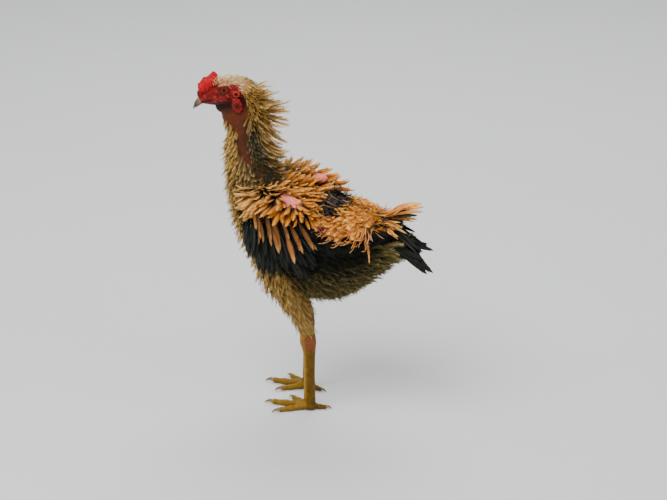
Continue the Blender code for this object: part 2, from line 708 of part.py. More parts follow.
def build_earlobes():
    """The red lobes that hang below the ears, against the top of the neck."""
    for name, side in (("earlobe_left", 1), ("earlobe_right", -1)):
        shape = ball(mirrored(LOBE_AT, side), LOBE_RADII, segments=12, rings=8)
        lobe = node(name, moved(shape, HEAD_FRAME), RED)
        combine(lobe, [*head_shapes(GAP), neck_form.mesh(1, neck_down, GAP)], "DIFFERENCE")
        remember(lobe)


def wing_depth(reach, rise):
    """How far the folded wing stands out from the torso's skin: less at its rim, more at the shoulder."""
    shoulder = 1 + WING_SHOULDER * max(0.0, rise)
    return TORSO_DOWN + WING_THICKNESS * shoulder * (1 - WING_THINNING * min(reach, 1.0) ** 2)


def wing_point(ahead, rise, side, depth=None):
    """A point over the wing's patch: ahead is -1 in front and 1 behind, rise -1 below and 1 on top."""
    reach = math.hypot(ahead, rise)
    along, angle = WING_MIDDLE[0] + WING_SPAN[0] * ahead, WING_MIDDLE[1] + WING_SPAN[1] * rise
    depth = wing_depth(reach, rise) if depth is None else depth
    point = torso_form.skin(along, angle) + torso_form.normal(along, angle) * depth
    return mirrored(point, side)


def wing_spot(ahead, rise, side):
    """A point of the wing with its outward and backward directions."""
    step = 0.02
    back = (wing_point(ahead + step, rise, side) - wing_point(ahead - step, rise, side)).normalized()
    up = wing_point(ahead, rise + step, side) - wing_point(ahead, rise - step, side)
    out = back.cross(up).normalized() * side
    return wing_point(ahead, rise, side), out, back


def build_wing(name, side):
    """The folded wing, a rounded flap against the side of the torso."""
    shape, rings = bmesh.new(), []
    layers = [(reach, TORSO_DOWN - WING_SUNK) for reach in (0.0, 1.0)]
    layers += [(reach, None) for reach in WING_RINGS]
    for reach, depth in layers:
        count = WING_SIDES if reach else 1
        turns = [2 * math.pi * j / count for j in range(count)]
        points = [wing_point(reach * math.cos(t), reach * math.sin(t), side, depth) for t in turns]
        rings.append([shape.verts.new(point) for point in points])
    join_rings(shape, rings)
    wing = node(name, shape, PLUMAGE)
    combine(wing, [torso_cutter(), neck_form.mesh(1, neck_down, GAP)], "DIFFERENCE")
    return wing


def build_tail():
    """The tail's fleshy root, which the quills grow from."""
    points = [Vector((0, y, z)) for y, z, _, _ in TAIL]
    shape = tube(points, [row[2] for row in TAIL], [row[3] for row in TAIL], 14)
    tail = node("tail", shape, BLACK)
    combine(tail, [torso_cutter()], "DIFFERENCE")
    return tail


def build_leg(label, side, foot_y):
    """One leg: feathered thigh, bare shank, foot and four claws."""
    ankle = Vector((side * LEG_SPREAD, foot_y, 0))
    points = [ankle + Vector((side * x, y, z)) for x, y, z, _, _ in THIGH]
    widths, depths = [row[3] for row in THIGH], [row[4] for row in THIGH]
    thigh = node("thigh_" + label, tube(points, widths, depths, 14, Vector((0, -1, 0))), BUFF)
    combine(thigh, [torso_cutter()], "DIFFERENCE")

    points = [ankle + Vector((0, y, z)) for y, z, _, _ in SHANK]
    widths, depths = [row[2] for row in SHANK], [row[3] for row in SHANK]
    shank = node("shank_" + label, tube(points, widths, depths, 12, Vector((0, -1, 0))), LEG)
    remember(shank)

    heel = [ankle + Vector((0, 0, z)) for z in (0.003, ANKLE_HEIGHT - GAP)]
    shape = tube(heel, [SHANK[-1][2]] * 2, [SHANK[-1][3]] * 2, 12, Vector((0, -1, 0)))
    foot = node("foot_" + label, shape, LEG)
    toes = []
    for number, (bearing, length, radius) in enumerate(TOES, 1):
        turn = math.radians(bearing) * side
        ahead = Vector((math.sin(turn), -math.cos(turn), 0))
        base_z, end_z = ANKLE_HEIGHT * 0.55, radius * 0.75
        points, sizes = [], []
        for share in TOE_STEPS:
            height = end_z + (base_z - end_z) * (1 - share) ** 3
            points.append(ankle + ahead * (length * share) + Vector((0, 0, height)))
            sizes.append(radius * (1.15 - 0.35 * share) * (1 + TOE_JOINTS * math.cos(share * math.pi * 5)))
        toes.append(tube(points, sizes, sizes, 6))
        tip, claw = points[-1] + ahead * GAP, []
        for share, _ in CLAW:
            rise = CLAW_ARCH * math.sin(math.pi * share) - (tip.z - CLAW_TIP) * share**2
            reach = (CLAW_BASE + CLAW_SHARE * length) * share
            claw.append(tip + ahead * reach + Vector((0, 0, rise if share > CLAW[1][0] else 0)))
        claw_sizes = [sizes[-1] * size for _, size in CLAW]
        node(f"claw_{label}_{number}", tube(claw, claw_sizes, claw_sizes, 6), HORN)
    pad = ball(ankle + Vector((0, 0, PAD_AT)), PAD_RADII, segments=10, rings=5)
    combine(foot, [*toes, pad], "UNION")
    floor = bmesh.new()
    place = Matrix.Translation((ankle.x, ankle.y, -0.05)) @ Matrix.Diagonal((0.3, 0.3, 0.1, 1))
    bmesh.ops.create_cube(floor, size=1, matrix=place)
    combine(foot, [floor], "DIFFERENCE")
    return thigh


def between(pair, share):
    """A value between the two of a pair."""
    return pair[0] + (pair[1] - pair[0]) * share


def feather_neck(neck):
    """The hackle: rows that stand out behind the neck, the nape's cap and a ruff round the front."""
    plumage = Plumage(neck, 12)
    for row in range(HACKLE_ROWS):
        along = HACKLE_FIRST + row * HACKLE_STEP
        count = HACKLE_COUNT + row % 2
        long = HACKLE_SHORTEST + HACKLE_GROWTH * math.sin(math.pi * min(1.0, along / 9))
        for step in range(count):
            root, out, up = neck_form.spot(along, -90 + (step - (count - 1) / 2) * HACKLE_ANGLE, neck_down)
            plumage.grow(HACKLE._replace(length=HACKLE.length * long), root, out, -up)
    for along, count in NAPE_ROWS:
        for step in range(count):
            root, out, up = neck_form.spot(along, -90 + (step - (count - 1) / 2) * NAPE_ANGLE, neck_down)
            plumage.grow(NAPE, root, out, -up)
    for row in range(RUFF_ROWS):
        for step in (-0.5, 0.5):
            angle = 90 + (step + 0.4 * (row % 2)) * RUFF_ANGLE
            root, out, up = neck_form.spot(RUFF_FIRST + row * RUFF_STEP, angle, neck_down)
            plumage.grow(RUFF, root, out, -up)
    plumage.join()


def feather_wing(wing, side):
    """Tiers of frizzled coverts from the shoulder down, over the flight feathers."""
    plumage = Plumage(wing, 13 if side > 0 else 14)
    for kind, rise, count, fan in COVERT_TIERS:
        width = math.sqrt(1 - rise**2) * TIER_WIDTH
        for step in range(count):
            share = step / (count - 1)
            turn = -(fan + FRONT_TURN * (1 - share)) * side
            curved = kind._replace(curl=kind.curl * between((FRONT_CURL, 1.0), share))
            plumage.grow(curved, *wing_spot(between((-width, width), share), rise, side), turn=turn)
    for step in range(FLIGHTS):
        share = step / (FLIGHTS - 1)
        ahead = between((-FLIGHT_SPREAD, FLIGHT_SPREAD), share)
        root, out, back = wing_spot(ahead, between(FLIGHT_ROOTS, share), side)
        kind = SECONDARY._replace(length=SECONDARY.length * (0.72 + 0.34 * math.sin(math.pi * share**0.8)))
        plumage.grow(kind, root, out, back, turn=-between(FLIGHT_TURNS, share) * side)
    plumage.join()


def feather_tail(tail):
    """The fan of quills on both sides, with curled coverts over its root."""
    plumage = Plumage(tail, 15)
    for side in (1, -1):
        for index, (height, slope, long) in enumerate(QUILLS):
            share, slope = index / (len(QUILLS) - 1), math.radians(slope)
            lie = Vector((between(QUILL_SPREAD, share) * side, math.cos(slope), math.sin(slope))).normalized()
            out = Vector((side, 0, 0.1))
            out = (out - lie * out.dot(lie)).normalized()
            root = Vector((between(QUILL_SIDE, share) * side, QUILL_Y, height))
            plumage.grow(TAIL_QUILL._replace(length=TAIL_QUILL.length * long), root, out, lie)
    for y, count in TAIL_COVERT_ROWS:
        for step in range(count):
            spread = math.radians((step - (count - 1) / 2) * TAIL_COVERT_ANGLE)
            out = Vector((math.sin(spread), 0.1, math.cos(spread))).normalized()
            lie = Vector((0, 1, TAIL_COVERT_SLOPE)).normalized()
            lie = (lie - out * lie.dot(out)).normalized()
            _, z, width, height = curve_value(TAIL, 1.0 + (y - TAIL[1][0]) / (TAIL[2][0] - TAIL[1][0]))
            root = Vector((width * math.sin(spread), y, z + height * math.cos(spread)))
            plumage.grow(TAIL_COVERT, root, out, lie)
    plumage.join()


def feather_thigh(thigh, side, foot_y):
    """Loose feathers down the outside, front and back of the thigh."""
    plumage = Plumage(thigh, 16 if side > 0 else 17)
    for row, place in enumerate(THIGH_ROWS):
        x, y, z, width, depth = curve_value(THIGH, place)
        down = Vector(curve_value(THIGH, place + 0.1)[:3]) - Vector((x, y, z))
        down = mirrored(down, side).normalized()
        through = down.cross(Vector((1, 0, 0))).normalized()
        for step in range(3 + row % 2):
            turn = math.radians(THIGH_ANGLE * (step - 1.2) + 10 * (row % 2)) + (0 if side > 0 else math.pi)
            flat = Vector((math.cos(turn), math.sin(turn), 0))
            out = (flat - down * flat.dot(down)).normalized()
            middle = Vector((side * (LEG_SPREAD + x), foot_y + y, z))
            reach = 1 / math.hypot(out.x / width, out.dot(through) / depth)
            plumage.grow(THIGH_TUFT, middle + out * reach * 0.96, out, down)
    plumage.join()


def feather_torso(torso):
    """Curled breast, back and flank feathers, the long saddle, and the fluff of belly and vent."""
    plumage = Plumage(torso, 18)
    for kind, along, angles, turn in TORSO_ROWS:
        for angle in angles:
            for side in (1,) if angle == 90 else (1, -1):
                root, out, back = torso_form.spot(along, angle, torso_down, side)
                plumage.grow(kind, root, out, back, turn * side)
    plumage.join()


torso = build_torso()
neck = build_neck()
head = build_head()
build_beak()
build_eyes()
comb = build_comb()
wing_left = build_wing("wing_left", 1)
wing_right = build_wing("wing_right", -1)
tail = build_tail()
thigh_left = build_leg("left", 1, LEFT_FOOT_Y)
thigh_right = build_leg("right", -1, RIGHT_FOOT_Y)
for core in (torso, neck, head, comb, wing_left, wing_right, tail, thigh_left, thigh_right):
    remember(core)
build_earlobes()

feather_neck(neck)
feather_wing(wing_left, 1)
feather_wing(wing_right, -1)
feather_tail(tail)
feather_thigh(thigh_left, 1, LEFT_FOOT_Y)
feather_thigh(thigh_right, -1, RIGHT_FOOT_Y)
feather_torso(torso)

# The origin goes to the bottom centre of the bird's box.
corners = [Vector(corner) for piece in BIRD.objects for corner in piece.bound_box]
low = Vector([min(corner[axis] for corner in corners) for axis in range(3)])
high = Vector([max(corner[axis] for corner in corners) for axis in range(3)])
shift = Matrix.Translation((-(low.x + high.x) / 2, -(low.y + high.y) / 2, -low.z))
for piece in BIRD.objects:
    piece.data.transform(shift)
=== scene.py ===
import json
import math
import random

import bmesh
import bpy
from mathutils import Euler, Matrix, Quaternion, Vector, noise

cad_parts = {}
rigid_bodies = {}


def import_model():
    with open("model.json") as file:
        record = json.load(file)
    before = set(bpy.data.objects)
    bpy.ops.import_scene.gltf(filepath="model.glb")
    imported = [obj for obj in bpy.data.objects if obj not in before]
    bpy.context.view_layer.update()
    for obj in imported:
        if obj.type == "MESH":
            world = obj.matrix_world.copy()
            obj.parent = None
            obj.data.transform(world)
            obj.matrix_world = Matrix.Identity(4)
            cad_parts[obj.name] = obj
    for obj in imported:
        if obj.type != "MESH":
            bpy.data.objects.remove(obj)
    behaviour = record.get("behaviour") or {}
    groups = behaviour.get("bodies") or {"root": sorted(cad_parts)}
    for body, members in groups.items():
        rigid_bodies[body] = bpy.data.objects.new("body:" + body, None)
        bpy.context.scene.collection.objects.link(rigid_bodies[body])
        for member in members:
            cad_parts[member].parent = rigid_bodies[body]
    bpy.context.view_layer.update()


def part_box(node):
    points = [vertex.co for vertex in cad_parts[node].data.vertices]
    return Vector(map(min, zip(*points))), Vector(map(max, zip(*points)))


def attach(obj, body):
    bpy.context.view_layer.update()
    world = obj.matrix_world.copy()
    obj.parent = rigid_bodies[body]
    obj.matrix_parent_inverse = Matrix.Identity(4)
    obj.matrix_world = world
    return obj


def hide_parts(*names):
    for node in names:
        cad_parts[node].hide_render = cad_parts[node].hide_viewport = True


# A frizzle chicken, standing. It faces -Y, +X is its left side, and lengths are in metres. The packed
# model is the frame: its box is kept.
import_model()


# The bird's flesh. Its forms are drawn as rings along each part, and they lie under the down of the
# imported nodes. The middle between the shanks tells where their design origin stands in the frame.
SIDES = {"left": 1, "right": -1}
LEG_SPREAD = 0.030
SHANK_MIDDLE_Y = -0.0115
shank_corners = [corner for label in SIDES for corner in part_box("shank_" + label)]
middle_x, middle_y = (sum(corner[axis] for corner in shank_corners) / 4 for axis in (0, 1))
ORIGIN = Vector((middle_x, middle_y - SHANK_MIDDLE_Y, 0))
FOOT_Y = {"left": 0.002, "right": -0.022}

# Torso, from the breast to the rump: y, z of the back, z of the keel, half width.
TORSO = (
    (-0.0975, 0.2440, 0.2400, 0.0000),
    (-0.0955, 0.2580, 0.2270, 0.0170),
    (-0.0890, 0.2690, 0.2080, 0.0320),
    (-0.0775, 0.2750, 0.1900, 0.0440),
    (-0.0600, 0.2770, 0.1690, 0.0550),
    (-0.0360, 0.2740, 0.1500, 0.0610),
    (-0.0060, 0.2700, 0.1410, 0.0630),
    (0.0240, 0.2650, 0.1420, 0.0610),
    (0.0500, 0.2600, 0.1530, 0.0540),
    (0.0720, 0.2530, 0.1700, 0.0430),
    (0.0880, 0.2460, 0.1890, 0.0310),
    (0.0980, 0.2370, 0.2040, 0.0190),
    (0.1020, 0.2230, 0.2190, 0.0000),
)
# Neck, from the shoulders up: x, y, z, half width, half depth.
NECK = (
    (0.0000, -0.0620, 0.2420, 0.0340, 0.0340),
    (0.0000, -0.0720, 0.2600, 0.0330, 0.0340),
    (0.0000, -0.0800, 0.2760, 0.0285, 0.0300),
    (0.0000, -0.0865, 0.2920, 0.0235, 0.0250),
    (0.0000, -0.0905, 0.3080, 0.0200, 0.0215),
    (0.0000, -0.0930, 0.3240, 0.0170, 0.0190),
    (-0.0005, -0.0945, 0.3400, 0.0145, 0.0185),
    (-0.0015, -0.0980, 0.3550, 0.0125, 0.0222),
    (-0.0027, -0.1005, 0.3690, 0.0110, 0.0208),
    (-0.0035, -0.1000, 0.3820, 0.0100, 0.0140),
    (-0.0035, -0.0960, 0.3930, 0.0060, 0.0070),
)
# Head, in its own frame, from the beak back: y, z of the crown, z of the jaw, half width.
HEAD = (
    (-0.0374, 0.0006, -0.0066, 0.0046),
    (-0.0310, 0.0040, -0.0092, 0.0063),
    (-0.0240, 0.0080, -0.0122, 0.0080),
    (-0.0140, 0.0122, -0.0150, 0.0102),
    (-0.0040, 0.0145, -0.0164, 0.0122),
    (0.0060, 0.0152, -0.0172, 0.0136),
    (0.0150, 0.0136, -0.0168, 0.0138),
    (0.0230, 0.0098, -0.0144, 0.0122),
    (0.0285, 0.0046, -0.0096, 0.0084),
    (0.0310, -0.0030, -0.0040, 0.0000),
)
# Fleshy root of the tail: x, y, z, half width, half height.
TAIL = (
    (0, 0.0760, 0.2340, 0.0160, 0.0170),
    (0, 0.0900, 0.2360, 0.0140, 0.0150),
    (0, 0.1010, 0.2375, 0.0110, 0.0120),
    (0, 0.1090, 0.2380, 0.0060, 0.0070),
)
# Thigh beside its ankle, from the body down: x outwards, y, z, half width, half depth.
THIGH = (
    (-0.0020, -0.0300, 0.2150, 0.0150, 0.0220),
    (0.0050, -0.0400, 0.1930, 0.0155, 0.0225),
    (0.0070, -0.0360, 0.1700, 0.0140, 0.0190),
    (0.0050, -0.0240, 0.1450, 0.0105, 0.0135),
    (0.0030, -0.0120, 0.1220, 0.0078, 0.0095),
    (0.0010, -0.0040, 0.1050, 0.0075, 0.0092),
    (0.0000, -0.0020, 0.0960, 0.0080, 0.0096),
)
# Shank from the hock down to the ankle: y, z, half width, half depth.
SHANK = (
    (-0.0020, 0.0980, 0.0080, 0.0094),
    (-0.0020, 0.0930, 0.0083, 0.0099),
    (-0.0015, 0.0870, 0.0083, 0.0101),
    (-0.0005, 0.0780, 0.0069, 0.0083),
    (0.0000, 0.0650, 0.0056, 0.0070),
    (0.0000, 0.0400, 0.0053, 0.0067),
    (0.0000, 0.0230, 0.0060, 0.0071),
    (0.0000, 0.0120, 0.0064, 0.0074),
    (0.0000, 0.0040, 0.0064, 0.0074),
)
# Toes: bearing from straight ahead, positive outwards, length to the claw, radius.
TOES = ((-34, 0.034, 0.0038), (2, 0.047, 0.0042), (36, 0.038, 0.0037), (196, 0.020, 0.0034))
TOE_HEIGHT = 0.86
ANKLE_HEIGHT = 0.015
# Folded wings: middle and half spans of their patch of the torso, and how far they stand out from it.
WING_MIDDLE, WING_SPAN = (4.9, 31.0), (2.15, 34.0)
WING_ROOT, WING_THICKNESS, WING_THINNING = 0.0010, 0.0070, 0.75
WING_UNWRAP = {1: (0.01, 0.63, 0.48, 0.36), -1: (0.51, 0.63, 0.48, 0.36)}
# The right shoulder is carried a little higher than the left.
WING_SHOULDER = {1: 2.6, -1: 4.4}


def turned(x=0, y=0, z=0):
    """A turn in degrees."""
    return Euler((math.radians(x), math.radians(y), math.radians(z))).to_matrix().to_4x4()


HEAD_FRAME = Matrix.Translation(ORIGIN + Vector((0.0, -0.1105, 0.3840))) @ turned(z=14) @ turned(x=16)
TO_HEAD = HEAD_FRAME.inverted()


def clamp(value, low=0.0, high=1.0):
    """A value held between two others."""
    return max(low, min(high, value))


def circle(count):
    """Angles evenly round a full turn."""
    return [2 * math.pi * j / count for j in range(count)]


def mirrored(point, side):
    """A point of the left side, or its mirror image where the side is -1."""
    return Vector((point[0] * side, point[1], point[2]))


def curve_value(stations, place):
    """The stations' values at a place counted in stations, by a cubic through its neighbours."""
    last = len(stations) - 1
    step = min(int(place), last - 1)
    share = place - step
    before, start, end, after = (stations[max(0, min(last, step + k))] for k in (-1, 0, 1, 2))
    values = []
    for p, q, r, s in zip(before, start, end, after):
        slope_in, slope_out = (r - p) / 2, (s - q) / 2
        cube, square = share**3, share**2
        values.append(
            (2 * cube - 3 * square + 1) * q
            + (cube - 2 * square + share) * slope_in
            + (3 * square - 2 * cube) * r
            + (cube - square) * slope_out
        )
    return values


def join_rings(shape, rings, loop=False):
    """Faces between rings of points. A ring of one point is a pole, and other ends are capped."""
    made = []
    for low, high in zip(rings, rings[1:] + (rings[:1] if loop else [])):
        count = max(len(low), len(high))
        for j in range(count):
            k = (j + 1) % count
            corners = [low[j % len(low)], low[k % len(low)], high[k % len(high)], high[j % len(high)]]
            made.append(shape.faces.new(list(dict.fromkeys(corners))))
    for ring in () if loop else (rings[0], rings[-1]):
        if len(ring) > 2:
            made.append(shape.faces.new(ring))
    bmesh.ops.recalc_face_normals(shape, faces=made)


class Form:
    """A part of the flesh as rings round an axis. Its unwrap is a rectangle of the coat's map, and
    lie is -1 where feathers lie against the order of the stations."""

    def __init__(self, stations, unwrap, origin=ORIGIN, side=1, upright=False, keel=0.0, lie=1):
        self.stations, self.unwrap, self.origin, self.side = stations, unwrap, origin, side
        self.upright, self.keel, self.lie = upright, keel, lie
        self.last = len(stations) - 1

    def ring_frame(self, along):
        """Centre, half width, half height and the ring's upward direction at a place."""
        along = clamp(along, 0.0, self.last)
        if self.upright:
            y, top, bottom, half_width = curve_value(self.stations, along)
            return Vector((0, y, (top + bottom) / 2)), half_width, (top - bottom) / 2, Vector((0, 0, 1))
        x, y, z, half_width, half_height = curve_value(self.stations, along)
        ends = [curve_value(self.stations, clamp(along + d, 0, self.last)) for d in (-0.02, 0.02)]
        tangent = Vector((0, ends[1][1] - ends[0][1], ends[1][2] - ends[0][2])).normalized()
        return Vector((x, y, z)), half_width, half_height, Vector((1, 0, 0)).cross(tangent)

    def skin(self, along, angle):
        """A point of the skin. The angle is 90 at the ring's top and 0 on its outer or left side."""
        centre, half_width, half_height, up = self.ring_frame(along)
        turn = math.radians(angle)
        narrowing = 1 - self.keel * (1 - math.sin(turn)) / 2
        point = centre + Vector((max(half_width, 0) * narrowing * math.cos(turn), 0, 0))
        point += up * (max(half_height, 0) * math.sin(turn))
        return self.origin + mirrored(point, self.side)

    def spot(self, along, angle, depth=0.0, mirror=1):
        """Point, outward direction, feathers' lie and place on the unwrap, on either side of the bird."""
        along = clamp(along, 0.06, self.last - 0.06)
        angle = angle if mirror > 0 else 180 - angle
        lengthwise = self.skin(along + 0.05, angle) - self.skin(along - 0.05, angle)
        around = self.skin(along, angle + 2) - self.skin(along, angle - 2)
        centre = self.origin + mirrored(self.ring_frame(along)[0], self.side)
        point = self.skin(along, angle)
        out = around.cross(lengthwise).normalized()
        out = out if out.dot(point - centre) >= 0 else -out
        ahead = (lengthwise - out * lengthwise.dot(out)).normalized()
        left, low, width, height = self.unwrap
        place = (left + width * ((angle + 180) % 360) / 360, low + height * along / self.last)
        return point + out * depth, out, ahead * self.lie, place

    def mesh(self, shape, sides, per_station):
        """Adds the form to a bmesh as closed rings."""
        rings = []
        for i in range(self.last * per_station + 1):
            along = i / per_station
            count = sides if self.ring_frame(along)[1] >= 1e-6 else 1
            rings.append([shape.verts.new(self.skin(along, 360 * j / count)) for j in range(count)])
        join_rings(shape, rings)


torso = Form(TORSO, (0.01, 0.01, 0.48, 0.60), upright=True, keel=0.14)
neck = Form(NECK, (0.51, 0.01, 0.30, 0.36), lie=-1)
head = Form(HEAD, (0.83, 0.01, 0.16, 0.36), origin=Vector((0, 0, 0)), upright=True, keel=0.1)
tail = Form(TAIL, (0.83, 0.39, 0.16, 0.16))
thighs, ankles = {}, {}
for label, unwrap_left in (("left", 0.51), ("right", 0.67)):
    ankles[label] = ORIGIN + Vector((SIDES[label] * LEG_SPREAD, FOOT_Y[label], 0))
    thighs[label] = Form(THIGH, (unwrap_left, 0.39, 0.14, 0.22), origin=ankles[label], side=SIDES[label])


def wing_point(ahead, rise, side, depth=None):
    """A point over a wing's patch: ahead is -1 in front and 1 behind, rise -1 below and 1 on top."""
    along, angle = WING_MIDDLE[0] + WING_SPAN[0] * ahead, WING_MIDDLE[1] + WING_SPAN[1] * rise
    if depth is None:
        thinning = 1 - WING_THINNING * min(ahead**2 + rise**2, 1.0)
        depth = WING_ROOT + WING_THICKNESS * (1 + WING_SHOULDER[side] * max(0.0, rise)) * thinning
    return torso.spot(along, angle, depth, side)[0]


def wing_spot(ahead, rise, side, lift=0.0):
    """A spot of the wing: its point, outward and backward directions and its place on the unwrap."""
    step = 0.03
    back = (wing_point(ahead + step, rise, side) - wing_point(ahead - step, rise, side)).normalized()
    up = wing_point(ahead, rise + step, side) - wing_point(ahead, rise - step, side)
    out = back.cross(up).normalized() * side
    left, low, width, height = WING_UNWRAP[side]
    place = (left + width * (ahead + 1.1) / 2.2, low + height * (rise + 1.1) / 2.2)
    return wing_point(ahead, rise, side) + out * lift, out, back, place


# The skin is one closed surface over all the flesh, as on the bird. The forms overlap, are fused on a
# fine grid and smoothed where they join, and the surface is thinned where feathers hide it.
SKIN_GRID, SKIN_THINNED = 0.0009, 0.42
THROAT_AT, THROAT_RADII = Vector((0, -0.0120, -0.0165)), (0.0050, 0.0098, 0.0082)
CERE_AT, CERE_RADII = Vector((0, -0.0340, 0.0040)), (0.0054, 0.0048, 0.0062)
EYE_AT = Vector((0.0072, -0.0030, 0.0040))
BROW_AT, BROW_RADII = Vector((0.0098, -0.0040, 0.0098)), (0.0034, 0.0075, 0.0022)
CHEEK_AT, CHEEK_RADII = Vector((0.0100, -0.0060, -0.0052)), (0.0034, 0.0085, 0.0032)
EAR_AT, EAR_RING, EAR_RIM = Vector((0.0134, 0.0100, -0.0040)), 0.0028, 0.0011
NOSTRIL_AT = Vector((0.0066, -0.0280, -0.0003))
MOUTH_CORNER, MOUTH_FRONT = Vector((0.0, -0.0275, -0.0046)), Vector((0.0, -0.0370, -0.0062))
MOUTH_END_Y, MOUTH_SLOPE_LENGTH = -0.0215, 0.0145
KNOB_AT, KNOB_RADII = Vector((-0.0345, -0.0085, 0.2745)), (0.0085, 0.0105, 0.0060)
SCUTE_STEP, SCUTE_RISE = 0.0042, 0.00035
# The parts that are sculpted: the head down to its jaw, and the legs up to the hock.
HEAD_REACH, JAW_Z, LEG_TOP = 0.048, -0.034, 0.094


def ball(shape, centre, radii, turn=Matrix(), segments=24, rings=14):
    """Adds an ellipsoid to a bmesh."""
    place = Matrix.Translation(centre) @ turn @ Matrix.Diagonal((*radii, 1))
    bmesh.ops.create_uvsphere(shape, u_segments=segments, v_segments=rings, radius=1, matrix=place)


def tube(shape, points, widths, heights, sides, up=Vector((0, 0, 1)), loop=False):
    """Adds a tube through points, each with its half width and half height. A loop joins its start."""
    rings, count = [], len(points)
    for i, (point, width, height) in enumerate(zip(points, widths, heights)):
        after, before = ((i + 1) % count, i - 1) if loop else (min(i + 1, count - 1), max(i - 1, 0))
        ahead = (points[after] - points[before]).normalized()
        across = ahead.cross(up).normalized()
        rise = across.cross(ahead)
        ring = [point + across * width * math.cos(t) + rise * height * math.sin(t) for t in circle(sides)]
        rings.append([shape.verts.new(place) for place in ring])
    join_rings(shape, rings, loop)


def shape_object(name, shape, place=Matrix()):
    """A plain object from a bmesh, whose mesh is set in its place."""
    bmesh.ops.transform(shape, matrix=place, verts=shape.verts)
    mesh = bpy.data.meshes.new(name)
    shape.to_mesh(mesh)
    shape.free()
    made = bpy.data.objects.new(name, mesh)
    bpy.context.collection.objects.link(made)
    return made


def apply_modifiers(made):
    """Turns the object with its modifiers into a plain mesh."""
    graph = bpy.context.evaluated_depsgraph_get()
    mesh = bpy.data.meshes.new_from_object(
        made.evaluated_get(graph), preserve_all_data_layers=True, depsgraph=graph
    )
    made.modifiers.clear()
    made.data = mesh


def fused(name, shape, grid, rounds, place=Matrix()):
    """An object from overlapping closed shapes, fused on a grid and smoothed."""
    made = shape_object(name, shape, place)
    fuse = made.modifiers.new("Fuse", "REMESH")
    fuse.mode, fuse.voxel_size, fuse.use_smooth_shade = "VOXEL", grid, True
    soften = made.modifiers.new("Soften", "SMOOTH")
    soften.factor, soften.iterations = 0.5, rounds
    apply_modifiers(made)
    return made


def toe_direction(bearing, side):
    """The level direction of a toe."""
    turn = math.radians(bearing) * side
    return Vector((math.sin(turn), -math.cos(turn), 0))


def legs_shape(shape):
    """Shanks and feet. The toes sink from the ankle to the floor and swell at their joints."""
    shank_steps, toe_steps = 90, 30
    for label, ankle in ankles.items():
        rows = [curve_value(SHANK, (len(SHANK) - 1) * i / shank_steps) for i in range(shank_steps + 1)]
        points = [ankle + Vector((0, y, z)) for y, z, _, _ in rows]
        tube(shape, points, [row[2] for row in rows], [row[3] for row in rows], 28, Vector((0, -1, 0)))
        ball(shape, ankle + Vector((0, 0, 0.0045)), (0.0085, 0.0092, 0.0052))
        for bearing, length, radius in TOES:
            ahead = toe_direction(bearing, SIDES[label])
            low = radius * TOE_HEIGHT
            points, sizes = [], []
            for i in range(toe_steps + 1):
                share = i / toe_steps
                height = low + (ANKLE_HEIGHT * 0.55 - low) * (1 - share) ** 3
                points.append(ankle + ahead * (length * share) + Vector((0, 0, height)))
                joints = 1 + 0.10 * math.cos(share * math.pi * 6)
                sizes.append(radius * (1.15 - 0.38 * share) * joints)
            tube(shape, points, sizes, sizes, 16)


def head_shape(shape):
    """The head's flesh: skull, brows, cheeks, throat, cere and the rims of the ears."""
    start = len(shape.verts)
    head.mesh(shape, 40, 6)
    for side in (1, -1):
        ball(shape, mirrored(BROW_AT, side), BROW_RADII)
        ball(shape, mirrored(CHEEK_AT, side), CHEEK_RADII)
        for turn in circle(14):
            offset = Vector((0, math.cos(turn), math.sin(turn) * 1.1)) * EAR_RING
            ball(shape, mirrored(EAR_AT, side) + offset, (EAR_RIM,) * 3, segments=10, rings=8)
    ball(shape, THROAT_AT, THROAT_RADII)
    ball(shape, CERE_AT, CERE_RADII)
    shape.verts.ensure_lookup_table()
    bmesh.ops.transform(shape, matrix=HEAD_FRAME, verts=shape.verts[start:])


flesh = bmesh.new()
torso.mesh(flesh, 72, 6)
neck.mesh(flesh, 48, 6)
tail.mesh(flesh, 28, 5)
for form in thighs.values():
    form.mesh(flesh, 32, 6)
for side in (1, -1):
    layers = [(reach, -0.004) for reach in (0.0, 0.5, 1.0)]
    layers += [(reach, None) for reach in (1.0, 0.9, 0.8, 0.65, 0.5, 0.35, 0.2, 0.0)]
    rings = []
    for reach, depth in layers:
        turns = circle(48 if reach else 1)
        points = [wing_point(reach * math.cos(t), reach * math.sin(t), side, depth) for t in turns]
        rings.append([flesh.verts.new(point) for point in points])
    join_rings(flesh, rings)
ball(flesh, ORIGIN + KNOB_AT, KNOB_RADII)
legs_shape(flesh)
head_shape(flesh)
skin = fused("skin", flesh, SKIN_GRID, 4)


def fall(distance, reach):
    """1 at a place, falling smoothly to 0 at its reach."""
    share = max(0.0, 1 - distance / reach)
    return share * share * (3 - 2 * share)


def mouth_line(local, reach):
    """1 on the line of the mouth, falling to 0 at its reach."""
    if local.y >= MOUTH_END_Y:
        return 0.0
    line = MOUTH_FRONT.lerp(MOUTH_CORNER, clamp((local.y - MOUTH_FRONT.y) / MOUTH_SLOPE_LENGTH))
    return fall(abs(local.z - line.z), reach)


def sculpt_head(point, local, normal):
    """Moves a point of the head's skin for sockets, nostrils, mouth line, ear cups and creases."""
    side = 1 if local.x > 0 else -1
    near = mirrored(local, side)
    depth = 0.0022 * fall((near - EYE_AT - Vector((0.0058, 0, 0))).length, 0.0060)
    depth += 0.0016 * fall((near - NOSTRIL_AT).length, 0.0022)
    depth += 0.0026 * fall((near - EAR_AT).length, 0.0026)
    depth += 0.0011 * mouth_line(local, 0.0013)
    rise = 0.0010 * fall(abs((near - EYE_AT - Vector((0.0050, 0, 0))).length - 0.0070), 0.0016)
    rise += 0.00035 * noise.noise(local * 420 + Vector((0, 0, side)))
    rise += 0.00022 * abs(noise.noise(local * 900))
    return point + normal * (rise - depth)


